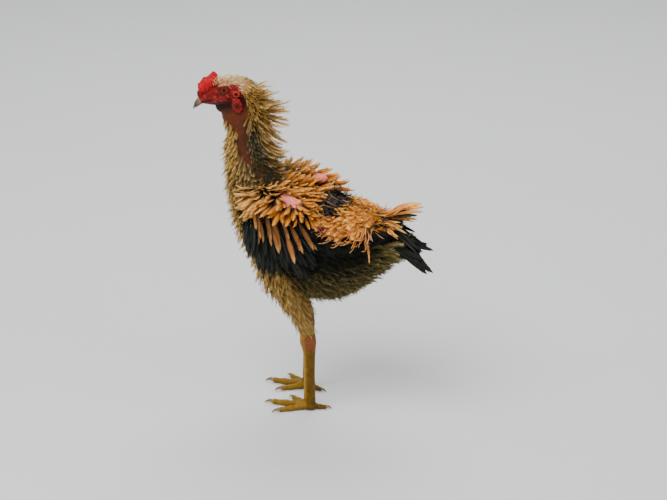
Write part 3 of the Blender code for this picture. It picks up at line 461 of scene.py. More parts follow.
def sculpt_leg(point, normal):
    """Moves a point of a leg's skin for the scutes down the shank's front and over the toes."""
    offset = point - ankles["left" if point.x > ORIGIN.x else "right"]
    rise = 0.0
    if point.z > ANKLE_HEIGHT and offset.y < 0.002:
        phase = (point.z / SCUTE_STEP) % 1
        rise = SCUTE_RISE * max(0.0, -normal.y) * (1 - phase * 1.4)
    elif point.z <= ANKLE_HEIGHT and normal.z > 0:
        phase = (math.hypot(offset.x, offset.y) / (SCUTE_STEP * 0.75)) % 1
        rise = SCUTE_RISE * normal.z * (0.7 - phase)
    moved = point + normal * rise
    moved.z = max(moved.z, 0.0)
    return moved


hidden = []
for vertex, normal in zip(skin.data.vertices, [vertex.normal.copy() for vertex in skin.data.vertices]):
    local = TO_HEAD @ vertex.co
    if local.length < HEAD_REACH and local.z > JAW_Z:
        vertex.co = sculpt_head(vertex.co, local, normal)
    elif vertex.co.z < LEG_TOP:
        vertex.co = sculpt_leg(vertex.co, normal)
    else:
        hidden.append(vertex.index)
skin.vertex_groups.new(name="coarse").add(hidden, 1.0, "REPLACE")
thin = skin.modifiers.new("Thin", "DECIMATE")
thin.ratio, thin.vertex_group = SKIN_THINNED, "coarse"
apply_modifiers(skin)


# The skin's colours: the bare red face, with painted shade under the jaw and in its hollows, the red
# strip of the neck, pink patches at the shoulders, yellow scales on the legs with painted light down the
# shanks' fronts and a rosy hock, and elsewhere the colour of the down over it, darkened under the coat
# by painted shade.
# The darkest reds of the face are painted shade: under the jaw over the throat's own darker red, along the
# mouth, in the ears and in the nostrils.
FACE_RED, FACE_SHADE_RED, CROWN_PINK = (0.165, 0.004, 0.004), (0.018, 0.003, 0.001), (0.60, 0.27, 0.10)
PALE_RED, NOSTRIL_SHADE_RED = (0.46, 0.050, 0.030), (0.10, 0.016, 0.012)
NECK_RED, NECK_SHADE = (0.096, 0.021, 0.004), (0.040, 0.014, 0.005)
# Under the coat the skin is near black: partly the black down's colour, partly painted shade.
BODY_PINK, DOWN_DARK_AND_SHADE = (0.80, 0.215, 0.165), (0.003, 0.0035, 0.002)
# The brightest leg yellow is painted light down the shanks' fronts, over their yellower front scutes.
LEG_YELLOWER_AND_LIT, LEG_YELLOW, LEG_SHADE = (0.40, 0.215, 0.010), (0.150, 0.074, 0.0006), (0.064, 0.031, 0.0005)
HOCK_RED = (0.22, 0.058, 0.018)
BUFF, OLIVE = (0.37, 0.200, 0.034), (0.135, 0.104, 0.034)
# Where the colours change: the face by its reach from the head's middle, and the rest by height.
FACE_REACH, FACE_LOW = 0.050, -0.036
LEGS_BELOW, THIGHS_BELOW, NECK_ABOVE, FRONT_Y = 0.100, 0.150, 0.285, -0.06
HOCK_HEIGHT, HOCK_REACH = 0.088, 0.017
# Pink patches: x, y, z and reach.
PINK_SPOTS = (
    (0.038, -0.016, 0.271, 0.009), (-0.034, -0.0085, 0.280, 0.0075), (0.046, 0.030, 0.244, 0.007)
)
PINK_MARGIN = 1.6


def mix(first, second, share):
    """A colour between two others."""
    share = clamp(share)
    return tuple(a + (b - a) * share for a, b in zip(first, second))


def near_pink(point, reach=1.0, before=0.0):
    """Whether a point lies in a bare pink patch of the shoulders, or at a distance before it."""
    place = point - ORIGIN + Vector((0, before, 0))
    return any((place - Vector(spot[:3])).length < spot[3] * reach for spot in PINK_SPOTS)


def face_colour(local):
    """Colour of the head's skin: painted shade under the jaw over the throat's darker red, along the mouth,
    in the nostrils and in the ears.
    """
    near = Vector((abs(local.x), local.y, local.z))
    # Painted shade under the jaw, over the throat's own darker red.
    colour = mix(FACE_RED, FACE_SHADE_RED, (-0.0060 - local.z + 0.10 * max(0.0, -local.y - 0.012)) / 0.008)
    colour = mix(colour, CROWN_PINK, (local.z - 0.0075 - 0.3 * max(0.0, -local.y)) / 0.003)
    colour = mix(colour, PALE_RED, max(0.0, noise.noise(local * 330) - 0.05) * 1.3 * (local.z > -0.010))
    colour = mix(colour, NECK_RED, (-0.017 - local.z) / 0.010)
    # Painted shade along the mouth line.
    colour = mix(colour, FACE_SHADE_RED, 0.9 * mouth_line(local, 0.0018))
    colour = mix(colour, PALE_RED, 0.7 * fall(abs((near - EAR_AT).length - 0.0034), 0.0016))
    # Painted shade inside the ears.
    colour = mix(colour, FACE_SHADE_RED, fall((near - EAR_AT).length, 0.0022))
    # Painted shade in the nostrils.
    return mix(colour, NOSTRIL_SHADE_RED, fall((near - NOSTRIL_AT).length, 0.0022))


def leg_colour(point, place):
    """Colour of the legs: yellow scales, brighter down the front of the shank as painted light over its
    yellower front scutes, and the rosy hock.
    """
    colour = mix(LEG_SHADE, LEG_YELLOW, 0.55 + 0.45 * noise.noise(point * 160))
    front = FOOT_Y["left" if place.x > 0 else "right"] - place.y
    most = 0.4 if place.z < ANKLE_HEIGHT else 1.0
    # Painted light down the front of the shank, over its yellower front scutes.
    colour = mix(colour, LEG_YELLOWER_AND_LIT, min(most, (front - 0.0005) / 0.0060))
    rosy = fall(abs(place.z - HOCK_HEIGHT), HOCK_REACH) * (0.55 if place.y < 0 else 1.0)
    return mix(colour, HOCK_RED, rosy)


def skin_colour(point):
    """Colour of the skin at a point of the bird."""
    local, place = TO_HEAD @ point, point - ORIGIN
    if local.length < FACE_REACH and local.z > FACE_LOW:
        return face_colour(local)
    if place.z < LEGS_BELOW:
        return leg_colour(point, place)
    if place.z > NECK_ABOVE and place.y < FRONT_Y:
        return mix(NECK_RED, NECK_SHADE, 0.35 + 0.9 * noise.noise(point * 150))
    if place.z < THIGHS_BELOW and abs(place.x) > 0.012:
        return mix(OLIVE, BUFF, 0.6)
    if near_pink(point, PINK_MARGIN):
        return BODY_PINK
    # Under the coat: near black, partly the black down's colour and partly painted shade; half buff in
    # front.
    return DOWN_DARK_AND_SHADE if place.y > FRONT_Y else mix(DOWN_DARK_AND_SHADE, BUFF, 0.5)


class Nodes:
    """A tree of nodes under way. Inputs are set or linked by name, or as i0, i1 and so on by number."""

    def __init__(self, tree):
        self.tree = tree

    def give(self, socket, value):
        """Sets an input, or links an output to it."""
        if isinstance(value, bpy.types.NodeSocket):
            self.tree.links.new(value, socket)
        else:
            socket.default_value = value

    def add(self, kind, settings=None, **inputs):
        """A new node."""
        node = self.tree.nodes.new(kind)
        for key, value in (settings or {}).items():
            setattr(node, key, value)
        for key, value in inputs.items():
            self.give(node.inputs[int(key[1:]) if key[1:].isdigit() else key], value)
        return node

    def sum(self, operation, *values, kind="ShaderNodeMath"):
        """The result of a sum."""
        inputs = {f"i{number}": value for number, value in enumerate(values)}
        return self.add(kind, {"operation": operation}, **inputs).outputs[0]

    def scaled(self, vector, amount):
        """A vector or colour times an amount."""
        return self.add("ShaderNodeVectorMath", {"operation": "SCALE"}, i0=vector, Scale=amount).outputs[0]


class Finish(Nodes):
    """A material under way, with the nodes that the bird's finishes share."""

    def __init__(self, name):
        self.made = bpy.data.materials.new(name)
        self.made.use_nodes = True
        super().__init__(self.made.node_tree)
        self.place = self.add("ShaderNodeTexCoord").outputs["Object"]

    def stored(self, label, output="Color"):
        """A value that the mesh holds for each of its points."""
        return self.add("ShaderNodeAttribute", {"attribute_name": label}).outputs[output]

    def grain(self, scale, detail=2.0, roughness=0.5):
        """Noise over the piece."""
        settings = {"Scale": scale, "Detail": detail, "Roughness": roughness}
        return self.add("ShaderNodeTexNoise", Vector=self.place, **settings).outputs["Fac"]

    def ranged(self, value, to=(0.0, 1.0), source=(0.0, 1.0), curve="LINEAR"):
        """A value brought from its source's range to another."""
        ends = {"From Min": source[0], "From Max": source[1], "To Min": to[0], "To Max": to[1]}
        return self.add("ShaderNodeMapRange", {"interpolation_type": curve}, Value=value, **ends).outputs[0]

    def bump(self, height, strength, distance):
        """A relief too fine for the mesh."""
        return self.add("ShaderNodeBump", Height=height, Strength=strength, Distance=distance).outputs[0]

    def done(self, **shader_inputs):
        """The material, with its shader's own inputs set or linked."""
        shader = self.tree.nodes["Principled BSDF"]
        for label, value in shader_inputs.items():
            self.give(shader.inputs[label.replace("_", " ")], value)
        return self.made


# Skin is thin and soft with a dull shine, and its red comes from the blood in it. Fine creases and
# grains run over the face, and small scales over the legs.
def skin_material():
    """Bare skin: the painted colour, mottled, with creases and grains as bump."""
    finish = Finish("bare_skin")
    mottle = finish.ranged(finish.grain(260.0, 4.0, 0.6), (0.72, 1.22), (0.3, 0.7))
    grains = finish.add("ShaderNodeTexVoronoi", {"feature": "SMOOTH_F1"}, Vector=finish.place, Scale=900.0)
    creases = finish.grain(700.0, 5.0, 0.65)
    relief = finish.sum("ADD", grains.outputs["Distance"], creases)
    return finish.done(
        Base_Color=finish.scaled(finish.stored("tint"), mottle),
        Normal=finish.bump(relief, 0.55, 0.0004),
        Roughness=finish.ranged(creases, (0.38, 0.62)),
        Specular_IOR_Level=0.17,
        Subsurface_Weight=0.12,
        Subsurface_Radius=(0.003, 0.0008, 0.0005),
    )


def paint(mesh, colour_at):
    """Stores a colour for each point of a mesh in its tint attribute."""
    colours = [value for vertex in mesh.vertices for value in (*colour_at(vertex.co), 1.0)]
    mesh.attributes.new("tint", "FLOAT_COLOR", "POINT").data.foreach_set("color", colours)


def finish_piece(made, material, nodes=()):
    """Gives a finished piece its material and slot, sets it on the frame's root body and hides the frame's
    nodes that it stands for.
    """
    made.data.materials.clear()
    made.data.materials.append(material)
    made.data.shade_smooth()
    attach(made, "root")
    if nodes:
        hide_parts(*nodes)


SKIN_MATERIAL = skin_material()
skin_nodes = ["torso", "neck", "head", "wing_left", "wing_right", "tail", "thigh_left", "thigh_right"]
skin_nodes += ["shank_left", "shank_right", "foot_left", "foot_right"]
paint(skin.data, skin_colour)
finish_piece(skin, SKIN_MATERIAL, skin_nodes)


# The eyes are wet balls with an olive-amber iris round a black pupil. Fine red lids close round them:
# each ring of a lid has its radius and thickness, and the outer ones bend back to the face.
EYE_RADIUS, PUPIL, IRIS = 0.0065, 0.0021, 0.0036
LID_RINGS = ((0.0038, 0.0007), (0.0049, 0.00065), (0.0061, 0.0006))
LID_STEPS, LID_SIDES, LID_GAP, LID_BEND = 44, 8, 0.0006, 0.0060


def eye_colour(side):
    """A function that gives the eye's colour by the distance from its axis."""

    def colour(point):
        offset = TO_HEAD @ point - mirrored(EYE_AT, side)
        reach = math.hypot(offset.y, offset.z)
        streak = 0.5 + 0.5 * noise.noise(Vector((math.atan2(offset.z, offset.y) * 9, reach * 900, side)))
        if reach < PUPIL:
            return (0.010, 0.005, 0.002)
        if reach < IRIS:
            return mix((0.12, 0.055, 0.008), (0.26, 0.140, 0.032), streak)
        return (0.05, 0.012, 0.010)

    return colour


def eye_material():
    """The wet eye, under a clear coat."""
    finish = Finish("eye_wet")
    return finish.done(
        Base_Color=finish.scaled(finish.stored("tint"), finish.ranged(finish.grain(2200.0), (0.8, 1.2))),
        Roughness=0.12,
        Specular_IOR_Level=0.10,
        Coat_Weight=0.15,
        Coat_Roughness=0.04,
    )


def lid_colour(point):
    """Red of the lids, mottled."""
    return mix((0.060, 0.006, 0.005), (0.22, 0.012, 0.010), 0.5 + noise.noise(point * 700))


EYE_MATERIAL = eye_material()
lids = bmesh.new()
for label, side in SIDES.items():
    centre = mirrored(EYE_AT, side)
    shape = bmesh.new()
    ball(shape, centre, (EYE_RADIUS * 0.97,) * 3, turned(y=90), 64, 48)
    eye = shape_object("eyeball_" + label, shape, HEAD_FRAME)
    paint(eye.data, eye_colour(side))
    finish_piece(eye, EYE_MATERIAL, ["eye_" + label])
    for radius, thickness in LID_RINGS:
        outward = math.sqrt((EYE_RADIUS + LID_GAP) ** 2 - min(radius, LID_BEND) ** 2)
        outward -= max(0.0, radius - LID_BEND) * 0.5
        ring = []
        for turn in circle(LID_STEPS):
            wobble = 1 + 0.035 * math.sin(turn * 5 + radius * 900)
            squeeze = 0.84 if math.sin(turn) > 0 else 0.92
            y, z = math.cos(turn) * 1.10 * wobble, math.sin(turn) * squeeze * wobble
            ring.append(centre + Vector((side * outward, radius * y, radius * z)))
        thick = [thickness] * LID_STEPS
        tube(lids, ring, thick, thick, LID_SIDES, Vector((1, 0, 0)), loop=True)
eyelids = shape_object("eyelids", lids, HEAD_FRAME)
paint(eyelids.data, lid_colour)
finish_piece(eyelids, SKIN_MATERIAL)


# The comb is a low cushion of soft red lumps on the forehead. It is grown from three rows of small
# lumps, fused on a fine grid.
COMB_FRONT, COMB_REAR = Vector((0, -0.0325, 0.0125)), Vector((0, -0.0115, 0.0196))
# The comb's red, painted shade for between its lumps and painted highlights.
COMB_RED, COMB_SHADE, COMB_HIGHLIGHT = (0.45, 0.002, 0.007), (0.13, 0.001, 0.002), (0.72, 0.050, 0.050)
COMB_GRID = 0.00045


def roughen(made, layers):
    """Moves a mesh's points outwards and inwards by layers of noise: height and scale."""
    vertices = made.data.vertices
    for vertex, normal in zip(vertices, [vertex.normal.copy() for vertex in vertices]):
        vertex.co += normal * sum(height * noise.noise(vertex.co * scale) for height, scale in layers)


chance = random.Random(31)
shape = bmesh.new()
ball(shape, Vector((0, -0.0225, 0.0095)), (0.0060, 0.0125, 0.0082), turned(x=30))
lumps = []
for row, count in ((-1, 5), (0, 6), (1, 5)):
    for step in range(count):
        share = (step + 0.5 * (row != 0)) / 5
        centre = COMB_FRONT.lerp(COMB_REAR, share)
        centre += Vector((row * 0.0040, chance.uniform(-0.0008, 0.0008), 0.0026 * (row == 0) - 0.0010))
        size = (0.0037 + 0.0013 * share) * chance.uniform(0.85, 1.25)
        lumps.append((centre, size))
        ball(shape, centre, (size * 0.80, size * 0.84, size * 1.25), segments=18, rings=12)
comb = fused("comb_lumps", shape, COMB_GRID, 2, HEAD_FRAME)
roughen(comb, ((0.00036, 600), (0.00018, 1500)))


def comb_colour(point):
    """Its red on the lumps, painted shade between them and painted highlights scattered by noise."""
    local = TO_HEAD @ point
    nearest = min((local - centre).length / size for centre, size in lumps)
    # Painted shade between the lumps.
    colour = mix(COMB_RED, COMB_SHADE, (nearest - 1.0) / 0.45)
    # Painted highlights, scattered by noise.
    return mix(colour, COMB_HIGHLIGHT, 0.5 * max(0.0, noise.noise(point * 420)))


paint(comb.data, comb_colour)
finish_piece(comb, SKIN_MATERIAL, ["comb"])


# The ear lobes are bags of thin red skin that hang below the ears, lumpy at their rims and dark in
# their middles.
LOBE_AT, LOBE_RADII = Vector((0.0140, 0.0075, -0.0170)), (0.0034, 0.0062, 0.0096)
LOBE_RED, LOBE_SHADE = (0.22, 0.010, 0.008), (0.030, 0.002, 0.001)
LOBE_GRID = 0.0005
for label, side in SIDES.items():
    middle = mirrored(LOBE_AT, side)
    shape = bmesh.new()
    ball(shape, middle, LOBE_RADII)
    for turn in circle(9):
        centre = mirrored((LOBE_AT.x + 0.0008, LOBE_AT.y, LOBE_AT.z), side)
        centre += Vector((0, 0.0047 * math.cos(turn), 0.0076 * math.sin(turn)))
        ball(shape, centre, (0.0021, 0.0019, 0.0024), segments=14, rings=10)
    lobe = fused("lobe_" + label, shape, LOBE_GRID, 3, HEAD_FRAME)
    roughen(lobe, ((0.0004, 420), (0.00015, 1300)))
    paint(
        lobe.data,
        lambda point: mix(LOBE_RED, LOBE_SHADE, fall((TO_HEAD @ point - middle).yz.length, LOBE_RADII[1])),
    )
    finish_piece(lobe, SKIN_MATERIAL, ["earlobe_" + label])


# Beak and claws are horn: pale and pinkish where they leave the skin, dark and worn at their tips.
# The beak is two halves, by rows of y, z of the flat side, rise of the round side and half width.
BEAK_UPPER = (
    (-0.0360, -0.0055, 0.0070, 0.0050),
    (-0.0382, -0.0061, 0.0070, 0.0047),
    (-0.0405, -0.0068, 0.0066, 0.0041),
    (-0.0440, -0.0081, 0.0049, 0.0030),
    (-0.0467, -0.0104, 0.0034, 0.0021),
    (-0.0481, -0.0122, 0.0024, 0.0014),
)
BEAK_LOWER = (
    (-0.0360, -0.0060, -0.0020, 0.0044),
    (-0.0382, -0.0065, -0.0020, 0.0041),
    (-0.0405, -0.0073, -0.0019, 0.0035),
    (-0.0435, -0.0085, -0.0016, 0.0024),
    (-0.0456, -0.0096, -0.0009, 0.0012),
)
BEAK_PALE, BEAK_DARK = (0.24, 0.145, 0.070), (0.060, 0.038, 0.018)
CLAW_PALE, CLAW_DARK = (0.34, 0.20, 0.07), (0.07, 0.042, 0.018)
# A claw's share of its full thickness, at even steps from the toe to its point.
CLAW = ((0.80,), (0.80,), (0.70,), (0.52,), (0.34,), (0.14,))


def horn_material():
    """Horn with fine growth lines along it and a satin shine."""
    finish = Finish("horn")
    streaks = finish.grain(900.0, 5.0, 0.7)
    return finish.done(
        Base_Color=finish.scaled(finish.stored("tint"), finish.ranged(streaks, (0.62, 1.35))),
        Normal=finish.bump(streaks, 0.35, 0.0003),
        Roughness=0.36,
    )


def half_horn(stations, sides=20):
    """One half of the beak."""
    shape, rings = bmesh.new(), []
    steps = 6 * (len(stations) - 1)
    for i in range(steps + 1):
        y, z, rise, half_width = curve_value(stations, (len(stations) - 1) * i / steps)
        half_width = max(half_width, 1e-4)
        turns = [math.pi * j / sides for j in range(sides + 1)]
        ring = [(half_width * math.cos(t), y, z + rise * math.sin(t) ** 0.9) for t in turns]
        rings.append([shape.verts.new(place) for place in ring])
    join_rings(shape, rings)
    return shape


HORN_MATERIAL = horn_material()
for name, stations in (("beak_upper", BEAK_UPPER), ("beak_lower", BEAK_LOWER)):
    horn = shape_object(name + "_horn", half_horn(stations), HEAD_FRAME)
    paint(horn.data, lambda point: mix(BEAK_PALE, BEAK_DARK, (-0.0368 - (TO_HEAD @ point).y) / 0.0070))
    finish_piece(horn, HORN_MATERIAL, [name])

for label, side in SIDES.items():
    for number, (bearing, length, radius) in enumerate(TOES, 1):
        ahead = toe_direction(bearing, side)
        base = ankles[label] + ahead * (length - 0.0008) + Vector((0, 0, radius * TOE_HEIGHT))
        reach = 0.0053 + 0.14 * length
        points, sizes = [], []
        for step in range(17):
            share = step / 16
            rise = 0.0012 * math.sin(math.pi * share) - (base.z - 0.0010) * share**2
            points.append(base + ahead * reach * share + Vector((0, 0, rise)))
            sizes.append(radius * 0.72 * curve_value(CLAW, (len(CLAW) - 1) * share)[0])
        shape = bmesh.new()
        tube(shape, points, [size * 0.8 for size in sizes], sizes, 14)
        claw = shape_object(f"claw_horn_{label}_{number}", shape)
        paint(claw.data, lambda point: mix(CLAW_PALE, CLAW_DARK, (point - base).length / reach))
        finish_piece(claw, HORN_MATERIAL, [f"claw_{label}_{number}"])


# Feathers are keratin: a shaft with blades of barbs on both sides. On this breed the vane curls away
# from the body and its barbs part, so each feather is built blade by blade, curled and frayed.
RIDGE, BARB = 0.00030, 0.00034


class FeatherMesh:
    """One feather lying along +Y from its root, +Z outwards, curled upwards along its length."""

    def __init__(self, length, width, curl, seed, twist=0.0, bend=1.5, cup=0.10):
        self.length, self.width, self.cup, self.chance = length, width, cup, random.Random(seed)
        self.twist = math.radians(twist)
        self.steps = 24
        self.line, self.headings = [Vector((0, 0, 0))], []
        for step in range(self.steps + 1):
            heading = math.radians(curl) * (step / self.steps) ** bend
            self.headings.append(heading)
            ahead = Vector((0, math.cos(heading), math.sin(heading)))
            self.line.append(self.line[-1] + ahead * length / self.steps)
        self.verts, self.faces, self.along, self.across = [], [], [], []

    def place(self, distance, offset, rise=0.0):
        """A point of the vane at a distance along the shaft, offset to a side and raised off it."""
        inside = clamp(distance / self.length)
        share = inside * self.steps
        step = min(int(share), self.steps - 1)
        point = self.line[step].lerp(self.line[step + 1], share - step)
        heading = self.headings[step]
        ahead = Vector((0, math.cos(heading), math.sin(heading)))
        out = Vector((0, -math.sin(heading), math.cos(heading)))
        spin = Quaternion(ahead, self.twist * share / self.steps)
        side, out = spin @ Vector((1, 0, 0)), spin @ out
        drop = -self.cup * offset * offset / (self.width / 2)
        return point + ahead * (distance - inside * self.length) + side * offset + out * (rise + drop)

    def add(self, point, distance, offset):
        """Stores a point with its place along and across the feather."""
        self.verts.append(tuple(point))
        self.along.append(clamp(distance / self.length))
        self.across.append(clamp(offset / (self.width / 2), -1.0))
        return len(self.verts) - 1

    def close(self, rings, tip):
        """Faces between rings of points, closed at the root and at the tip."""
        count = len(rings[0])
        self.faces.append(tuple(reversed(rings[0])))
        for low, high in zip(rings, rings[1:]):
            for j in range(count):
                k = (j + 1) % count
                self.faces.append((low[j], low[k], high[k], high[j]))
        for j in range(count):
            self.faces.append((rings[-1][j], rings[-1][(j + 1) % count], tip))

    def web(self, share, point, blunt, stations, wave):
        """The closed web on both sides of the shaft: its share of the width, and how it ends."""
        rings = []
        for i in range(stations):
            reach = i / stations
            spread = 0.12 + 0.88 * min(1.0, reach / 0.5) ** 0.9
            half = self.width / 2 * share * spread * (1 - reach**point) ** blunt
            distance = self.length * (0.02 + 0.96 * reach)
            ring = []
            for offset, rise in ((-half, 0), (0, RIDGE), (half, 0), (0, -RIDGE * 0.4)):
                stir = wave * self.chance.uniform(-1, 1) * abs(offset)
                ring.append(self.add(self.place(distance, offset, rise + stir), distance, offset))
            rings.append(ring)
        self.close(rings, self.add(self.place(self.length * 0.98, 0), self.length, 0))

    def barb(self, start, side, inner, reach, lean, stir):
        """One split strand of the web, from inside its edge outwards, leaning towards the tip."""
        rings = []
        ahead, aside = math.cos(lean), math.sin(lean)
        for share, thick in ((0.0, 1.0), (0.6, 0.8)):
            distance = start + reach * share * ahead
            offset = side * (inner + reach * share * aside)
            rise = stir * share * share
            ring = []
            for hand, lift in ((-1, 0), (1, 0), (0, 0.7)):
                d = distance + hand * BARB * thick * aside
                o = offset - side * hand * BARB * thick * ahead
                ring.append(self.add(self.place(d, o, rise + lift * BARB * thick), distance, offset))
            rings.append(ring)
        distance, offset = start + reach * ahead, side * (inner + reach * aside)
        self.close(rings, self.add(self.place(distance, offset, stir), distance, offset))

    def mesh(self, name):
        """The feather as a mesh with its places as attributes."""
        made = bpy.data.meshes.new(name)
        made.from_pydata(self.verts, [], self.faces)
        shape = bmesh.new()
        shape.from_mesh(made)
        bmesh.ops.recalc_face_normals(shape, faces=shape.faces)
        shape.to_mesh(made)
        shape.free()
        for label, values in (("along", self.along), ("across", self.across)):
            made.attributes.new(label, "FLOAT", "POINT").data.foreach_set("value", values)
        return made


def feather(
    name, length, width, curl, seed, web=0.8, point=3.0, stations=7, barbs=5, fray=0.12, lean=32,
    wave=0.10, blunt=0.65, **bearing
):
    """A feather: its web's share of the width and pointedness, its split barbs and how they fray."""
    made = FeatherMesh(length, width, curl, seed, **bearing)
    chance = made.chance
    made.web(web, point, blunt, stations, wave)
    for index in range(barbs):
        share = 0.14 + 0.80 * (index + 0.5) / barbs
        half = width / 2 * (0.35 + 0.65 * min(1.0, share / 0.5)) * (1 - share**point) ** blunt
        for side in (-1, 1):
            angle = math.radians(lean * chance.uniform(0.75, 1.2) * (1 - 0.35 * share))
            inner = half * web * 0.45
            reach = max(0.0015, (half - inner) / math.sin(angle) * chance.uniform(0.8, 1.15))
            start = length * share - reach * 0.4
            made.barb(start, side, inner, reach, angle, fray * reach * chance.uniform(-1, 1))
    return made.mesh(name)


def feather_kinds(name, count, length, width, curl, more_curl, seed, twist=0, **details):
    """Kinds of one feather, each curled more than the last, and twisted from one side to the other."""
    kinds = []
    for k in range(count):
        turn = twist * (k - (count - 1) / 2)
        kinds.append(
            feather(f"{name}_{k}", length, width, curl + more_curl * k, seed + k, twist=turn, **details)
        )
    return kinds


def tuft(name, length, blades, splay, curl, seed, thick=0.00045, pitches=(5, 42)):
    """A tuft of down: thin blades that spread from one root, sideways and within a range of pitches."""
    chance = random.Random(seed)
    made = FeatherMesh(length, length * 0.8, curl, seed)
    for index in range(blades):
        reach = length * chance.uniform(0.65, 1.0)
        turn = math.radians(chance.uniform(-splay, splay))
        pitch = math.radians(chance.uniform(*pitches))
        rings = []
        for share, thin in ((0.0, 0.8), (0.5, 1.0)):
            ring = []
            for hand, lift in ((-1, 0), (1, 0), (0, 0.6)):
                offset = reach * share * math.sin(turn) + hand * thick * thin
                rise = reach * share * math.sin(pitch) + lift * thick
                point = made.place(reach * share * math.cos(turn), offset, rise)
                ring.append(made.add(point, reach * share, offset))
            rings.append(ring)
        offset = reach * math.sin(turn) * 1.15
        rise = reach * math.sin(pitch) * chance.uniform(0.4, 0.8)
        made.close(rings, made.add(made.place(reach * math.cos(turn), offset, rise), reach, offset))
    return made.mesh(name)


# Each coat is a set of roots on the skin, and one tree of nodes sets a feather on every root. A root
# knows how its feather is turned, its size, its colours and its place on the unwrap of the skin.
PATCH_WIDTH, SIZE_VARIATION = 0.003, 0.12


def coat_tree():
    """Geometry nodes that set feathers on roots, make them real and lay them out on the coat's map."""
    tree = bpy.data.node_groups.new("Feathers on roots", "GeometryNodeTree")
    for label, kind in (
        ("Roots", "Geometry"), ("Feathers", "Collection"), ("Size Variation", "Float"),
        ("Patch Width", "Float"), ("Seed", "Int"), ("Finish", "Material"),
    ):
        tree.interface.new_socket(label, in_out="INPUT", socket_type="NodeSocket" + kind)
    tree.interface.new_socket("Coat", in_out="OUTPUT", socket_type="NodeSocketGeometry")
    nodes = Nodes(tree)
    add = nodes.add
    given = add("NodeGroupInput").outputs

    def stored(label, kind="FLOAT_VECTOR"):
        return add("GeometryNodeInputNamedAttribute", {"data_type": kind}, Name=label).outputs["Attribute"]

    def random_value(kind, low, high):
        node = add("FunctionNodeRandomValue", {"data_type": kind}, Seed=given["Seed"])
        ends = [socket for socket in node.inputs if socket.enabled and socket.name in ("Min", "Max")]
        nodes.give(ends[0], low)
        nodes.give(ends[1], high)
        return [socket for socket in node.outputs if socket.enabled][0]

    children = {"Separate Children": True, "Reset Children": True}
    kinds = add("GeometryNodeCollectionInfo", Collection=given["Feathers"], **children)
    smallest = nodes.sum("SUBTRACT", 1.0, given["Size Variation"])
    largest = nodes.sum("ADD", 1.0, given["Size Variation"])
    picking = {"Pick Instance": True, "Instance Index": random_value("INT", 0, 999)}
    planted = add(
        "GeometryNodeInstanceOnPoints",
        Points=given["Roots"],
        Instance=kinds.outputs[0],
        Rotation=add("FunctionNodeEulerToRotation", Euler=stored("turn")).outputs[0],
        Scale=nodes.scaled(stored("size"), random_value("FLOAT", smallest, largest)),
        **picking,
    )
    real = add("GeometryNodeRealizeInstances", Geometry=planted.outputs[0])
    leaf = add("ShaderNodeCombineXYZ", X=stored("across", "FLOAT"), Y=stored("along", "FLOAT")).outputs[0]
    spread = nodes.sum("MULTIPLY_ADD", leaf, (0.5, 1, 0), (0, -0.5, 0), kind="ShaderNodeVectorMath")
    patch = nodes.scaled(spread, given["Patch Width"])
    mapped = add(
        "GeometryNodeStoreNamedAttribute",
        {"data_type": "FLOAT2", "domain": "CORNER"},
        Geometry=real.outputs[0],
        Name="OFBake",
        Value=nodes.sum("ADD", stored("unwrap"), patch, kind="ShaderNodeVectorMath"),
    )
    finished = add("GeometryNodeSetMaterial", Geometry=mapped.outputs[0], Material=given["Finish"])
    add("NodeGroupOutput", i0=finished.outputs[0])
    return tree


COAT_TREE = coat_tree()


class Coat:
    """The roots of one coat, each with its feather's turn, size, colours and place on the unwrap."""

    def __init__(self, seed):
        self.seed, self.chance = seed, random.Random(seed)
        self.places = []
        self.roots = {"turn": [], "size": [], "unwrap": [], "tint": [], "tip": []}

    def root(self, spot, tint, tip, turn=0.0, lift=0.0, size=1.0, wander=8.0, roll=0.0):
        """Adds a root: turned about its outward direction, lifted off the skin and rolled about its lie."""
        point, out, lie, unwrap = spot
        chance = self.chance
        lie = Quaternion(out, math.radians(turn + chance.gauss(0, wander))) @ lie
        side = lie.cross(out).normalized()
        pitch = Quaternion(side, math.radians(lift + chance.gauss(0, wander * 0.5)))
        lie, out = pitch @ lie, pitch @ out
        spin = Quaternion(lie, math.radians(roll + chance.gauss(0, wander * 1.4)))
        basis = Matrix((spin @ side, lie, spin @ out)).transposed()
        shade = chance.uniform(0.78, 1.22)
        self.places.append(tuple(point))
        self.roots["turn"].extend(basis.to_euler("XYZ"))
        self.roots["size"].extend((size, size, size))
        self.roots["unwrap"].extend((*unwrap, 0.0))
        self.roots["tint"].extend(value * shade for value in tint)
        self.roots["tip"].extend(value * shade for value in tip)

    def grow(self, name, feathers, material):
        """The coat's piece: a feather on each root, in one mesh."""
        mesh = bpy.data.meshes.new(name)
        mesh.from_pydata(self.places, [], [])
        for label, values in self.roots.items():
            mesh.attributes.new(label, "FLOAT_VECTOR", "POINT").data.foreach_set("vector", values)
        made = bpy.data.objects.new(name, mesh)
        bpy.context.collection.objects.link(made)
        kinds = bpy.data.collections.new(name + "_kinds")
        for index, kind in enumerate(feathers):
            kinds.objects.link(bpy.data.objects.new(f"{name}_kind_{index}", kind))
        modifier = made.modifiers.new("Feathers", "NODES")
        modifier.node_group = COAT_TREE
        items = COAT_TREE.interface.items_tree
        sockets = {item.name: item.identifier for item in items if item.in_out == "INPUT"}
        modifier[sockets["Feathers"]] = kinds
        modifier[sockets["Size Variation"]] = SIZE_VARIATION
        modifier[sockets["Patch Width"]] = PATCH_WIDTH
        modifier[sockets["Seed"]] = self.seed
        modifier[sockets["Finish"]] = material
        apply_modifiers(made)
        for kind in list(kinds.objects):
            bpy.data.objects.remove(kind)
        bpy.data.collections.remove(kinds)
        for label in ("turn", "size", "unwrap"):
            if label in made.data.attributes:
                made.data.attributes.remove(made.data.attributes[label])
        finish_piece(made, material)


